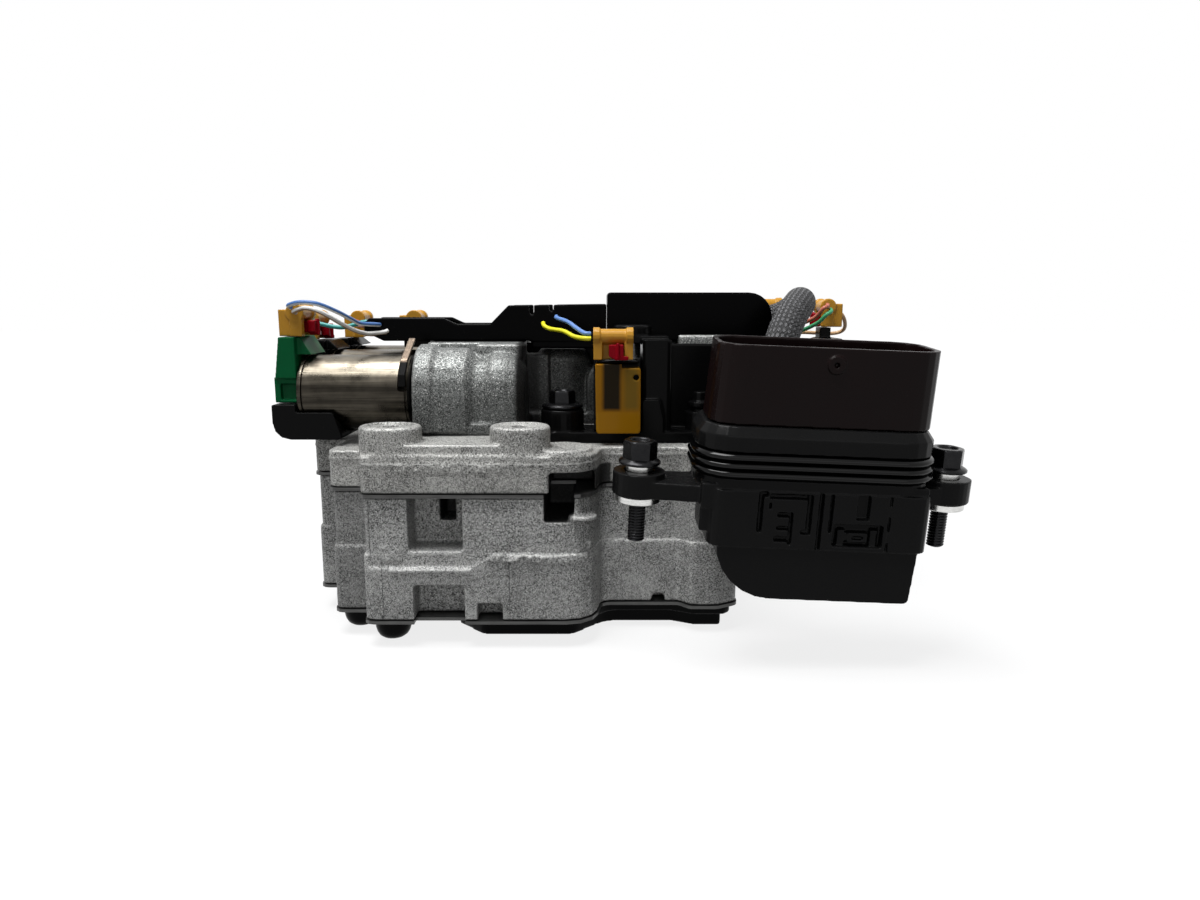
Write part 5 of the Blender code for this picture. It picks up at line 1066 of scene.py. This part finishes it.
def dress_valves():
    """The two spools inside, in drawn steel."""
    end, land, stem = 0.1000, 0.0070, 0.0044
    manual = [(0, 0), (0.0066, 0), (land, 0.0004), (land, 0.012), (stem, 0.012), (stem, 0.028),
              (land, 0.028), (land, 0.042), (stem, 0.042), (stem, 0.060), (land, 0.060),
              (land, end - 0.0125), (0.0032, end - 0.0125), (0.0032, end - 0.0040),
              (0.0060, end - 0.0040), (0.0060, end - 0.0003), (0.0057, end), (0, end)]
    piece("manual_valve", SPOOL, turned(manual, (-0.060, depth(0.036), VALVE_HEIGHT), "Y", 56), 32)
    land, stem = 0.0055, 0.0035
    regulator = [(0, 0), (0.0045, 0), (land, 0.001), (land, 0.010), (stem, 0.010), (stem, 0.018),
                 (land, 0.018), (land, 0.026), (stem, 0.026), (stem, 0.032), (land, 0.032),
                 (land, REGULATOR_LENGTH), (0, REGULATOR_LENGTH)]
    piece("regulator_spool", SPOOL,
          turned(regulator, (REGULATOR_X, depth(REGULATOR_DEPTH), VALVE_HEIGHT), "Y", 48), 32)


def dress_spring():
    """The regulator's coil, between its spool and its plug."""
    start = depth(REGULATOR_DEPTH + REGULATOR_LENGTH) + 0.0009
    count = SPRING_TURNS * 36
    route = []
    for step in range(count + 1):
        turn = 2 * math.pi * step / 36
        route.append(Vector((REGULATOR_X + SPRING_RADIUS * math.cos(turn),
                             start + SPRING_RISE * step / count,
                             VALVE_HEIGHT + SPRING_RADIUS * math.sin(turn))))
    tube = tube_mesh(route, 12, lambda step, turn: SPRING_WIRE)
    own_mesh(piece("regulator_spring", SPRING, tube, 50))


# Leads and the braided sleeve

# Routes in mm: X, depth and Z of each point; and each lead's colour and stripe
SLEEVE_ROUTE = (
    (62.7, 10.0, 51.2), (62.8, 15.0, 51.3), (63.0, 20.3, 57.0), (63.2, 22.4, 67.0), (63.5, 22.2, 82.0),
    (64.3, 20.8, 98.0), (66.5, 23.5, 109.0), (71.5, 32.0, 117.5), (77.0, 43.5, 122.0),
    (79.7, 56.0, 122.0), (79.0, 66.5, 119.0), (73.5, 71.5, 115.8), (65.5, 72.0, 115.0))
LEADS = {
    "lead_1_white": ((0.78, 0.77, 0.74), (0.30, 0.17, 0.08), (
        (-111.4, 25.0, 119.1), (-111.0, 22.6, 119.5), (-106.7, 20.8, 120.7), (-102.3, 20.5, 119.9),
        (-98.7, 23.0, 117.7), (-95.7, 29.0, 114.7), (-93.3, 35.5, 112.3), (-90.6, 42.0, 110.8),
        (-87.5, 46.5, 110.8), (-85.0, 48.4, 111.1), (-84.0, 49.4, 111.6))),
    "lead_1_blue": ((0.07, 0.17, 0.42), (0.70, 0.70, 0.68), (
        (-113.1, 25.0, 120.9), (-112.8, 22.6, 121.7), (-108.2, 21.2, 122.7), (-102.2, 22.0, 122.1),
        (-97.2, 28.0, 119.3), (-94.2, 35.0, 116.5), (-92.5, 41.0, 114.7), (-87.7, 46.5, 114.1),
        (-87.1, 49.3, 113.9))),
    "lead_front_yellow": ((0.72, 0.68, 0.02), None, (
        (-3.4, 25.4, 109.5), (-5.9, 25.6, 109.6), (-9.7, 31.0, 110.1), (-14.0, 38.5, 111.8),
        (-19.5, 44.5, 112.5), (-21.9, 47.0, 113.6), (-22.4, 49.2, 114.6))),
    "lead_front_blue": ((0.12, 0.24, 0.55), (0.65, 0.67, 0.70), (
        (-3.4, 27.1, 111.2), (-5.9, 27.5, 111.5), (-9.2, 34.0, 113.3), (-12.5, 42.0, 115.2),
        (-16.8, 47.0, 116.6), (-17.2, 49.4, 117.1))),
    "lead_2_teal": ((0.04, 0.30, 0.28), None, (
        (-117.3, 59.0, 116.0), (-116.5, 56.6, 116.0), (-112.7, 55.5, 114.2), (-104.5, 55.0, 112.7),
        (-99.0, 56.0, 113.7), (-94.3, 56.6, 114.9), (-89.5, 56.6, 113.5))),
    "lead_3_red": ((0.45, 0.10, 0.06), None, (
        (-108.2, 93.0, 114.3), (-107.6, 88.4, 113.8), (-105.8, 84.0, 112.8), (-101.5, 77.5, 112.7),
        (-98.0, 73.5, 113.5), (-94.5, 68.5, 115.1), (-89.5, 67.5, 113.7))),
    "lead_4_red": ((0.48, 0.14, 0.09), None, (
        (95.4, 71.7, 121.6), (94.8, 69.0, 121.0), (92.8, 68.2, 120.0), (90.0, 72.0, 116.0),
        (83.0, 79.0, 112.6), (75.0, 83.8, 111.5), (68.4, 85.0, 111.5))),
    "lead_4_green": ((0.06, 0.36, 0.16), None, (
        (96.8, 71.7, 119.7), (96.3, 69.0, 118.8), (94.0, 68.0, 117.4), (91.0, 71.0, 113.8),
        (84.0, 79.0, 109.8), (75.0, 83.8, 109.0), (68.4, 84.5, 109.0))),
    "lead_4_tan": ((0.60, 0.38, 0.20), None, (
        (96.2, 88.5, 120.8), (96.8, 91.5, 121.0), (101.3, 93.5, 121.0), (107.6, 92.5, 117.0),
        (110.3, 97.5, 111.0), (106.0, 100.5, 108.6), (92.0, 96.5, 109.2), (79.0, 92.5, 109.4),
        (68.4, 88.5, 109.6))),
}


def world_route(route, spacing):
    """Points at even steps along a route given in mm."""
    return smooth_route([(0.001 * x, depth(0.001 * y), 0.001 * z) for x, y, z in route], spacing)


def dress_leads():
    for name, (colour, stripe, route) in LEADS.items():
        tube = tube_mesh(world_route(route, 0.0005), 16, lambda step, turn: LEAD_RADIUS)
        piece(name, wire_material(f"{name}_skin", colour, stripe), tube, 50)


LEAD_RADIUS = 0.00085
BRAID_CELLS = 20
BRAID_AROUND = 120
BRAID_STEP = 0.00036
BRAID_RADIUS = 0.0061
BRAID_RISE = 0.0006
BRAID_THREADS = 3


def braid_material(turns_along):
    """Two sets of strands that cross over and under, each of several fine threads."""
    material, shader, place = material_with("braid_fine")
    far, round_it = uv_along(place.id_data)
    u = product(round_it, float(BRAID_CELLS))
    v = product(far, turns_along)
    one = math_node("ADD", u, v)
    two = math_node("SUBTRACT", u, v)
    over = product(*(math_node("SINE", product(way, math.pi)) for way in (one, two)))
    pick = math_node("GREATER_THAN", over, 0.0)
    under = math_node("SUBTRACT", 1.0, pick)
    strand = math_node("ADD", product(two, pick), product(one, under))
    threads = math_node("SINE", product(strand, 2 * math.pi * BRAID_THREADS))
    gap = range_node(math_node("ABSOLUTE", over), 0.06, 0.42)
    speck = range_node(noise_node(place, 2200.0, 2.0, 0.6), 0.35, 0.75, 0.0, 0.5)
    tone = mix_colour(pick, (0.055, 0.055, 0.058), (0.250, 0.250, 0.260))
    tone = mix_colour(range_node(threads, -0.5, 0.7), (0.010, 0.010, 0.010), tone)
    tone = mix_colour(speck, tone, (0.020, 0.020, 0.021))
    tone = mix_colour(gap, (0.003, 0.003, 0.003), tone)
    coat(shader, tone, 0.55, bump_node(threads, 0.5, 0.0002), 0.30)
    return material


def dress_sleeve():
    """Over and under strands of the braid, as small waves on a tube."""
    steps = world_route(SLEEVE_ROUTE, BRAID_STEP)
    lay = 2 * math.pi * BRAID_RADIUS / BRAID_CELLS

    def radius(step, turn):
        u = BRAID_CELLS * turn / BRAID_AROUND
        v = step * BRAID_STEP / lay
        over = math.sin(math.pi * (u + v)) * math.sin(math.pi * (u - v))
        crown = math.sin(math.pi * ((u + v if over > 0 else u - v) % 1.0))
        return BRAID_RADIUS - BRAID_RISE + BRAID_RISE * crown ** 0.5

    tube = tube_mesh(steps, BRAID_AROUND, radius)
    piece("braided_sleeve", braid_material(len(steps) * BRAID_STEP / lay), tube, 180)


dress_castings()
dress_connector_body()
dress_mouldings()
dress_seal()
dress_cans()
dress_fasteners()
dress_valves()
dress_spring()
# Plain pieces that keep the solid's own mesh
for node, finish in (("regulator_plug", SPOOL), ("lower_gasket_plate", PLATE), ("separator_plate", PLATE)):
    paint(frame["nodes"][node].data, finish)
dress_leads()
dress_sleeve()

make_camera()
make_world()
make_lamp("key", (-0.22, -0.16, 0.98), (0.0, 0.0, 0.07), (0.60, 0.50), 15.0)
make_lamp("front_fill", (0.25, -1.3, 0.70), (0.0, 0.0, 0.06), (1.2, 0.7), 2.2)
make_floor()
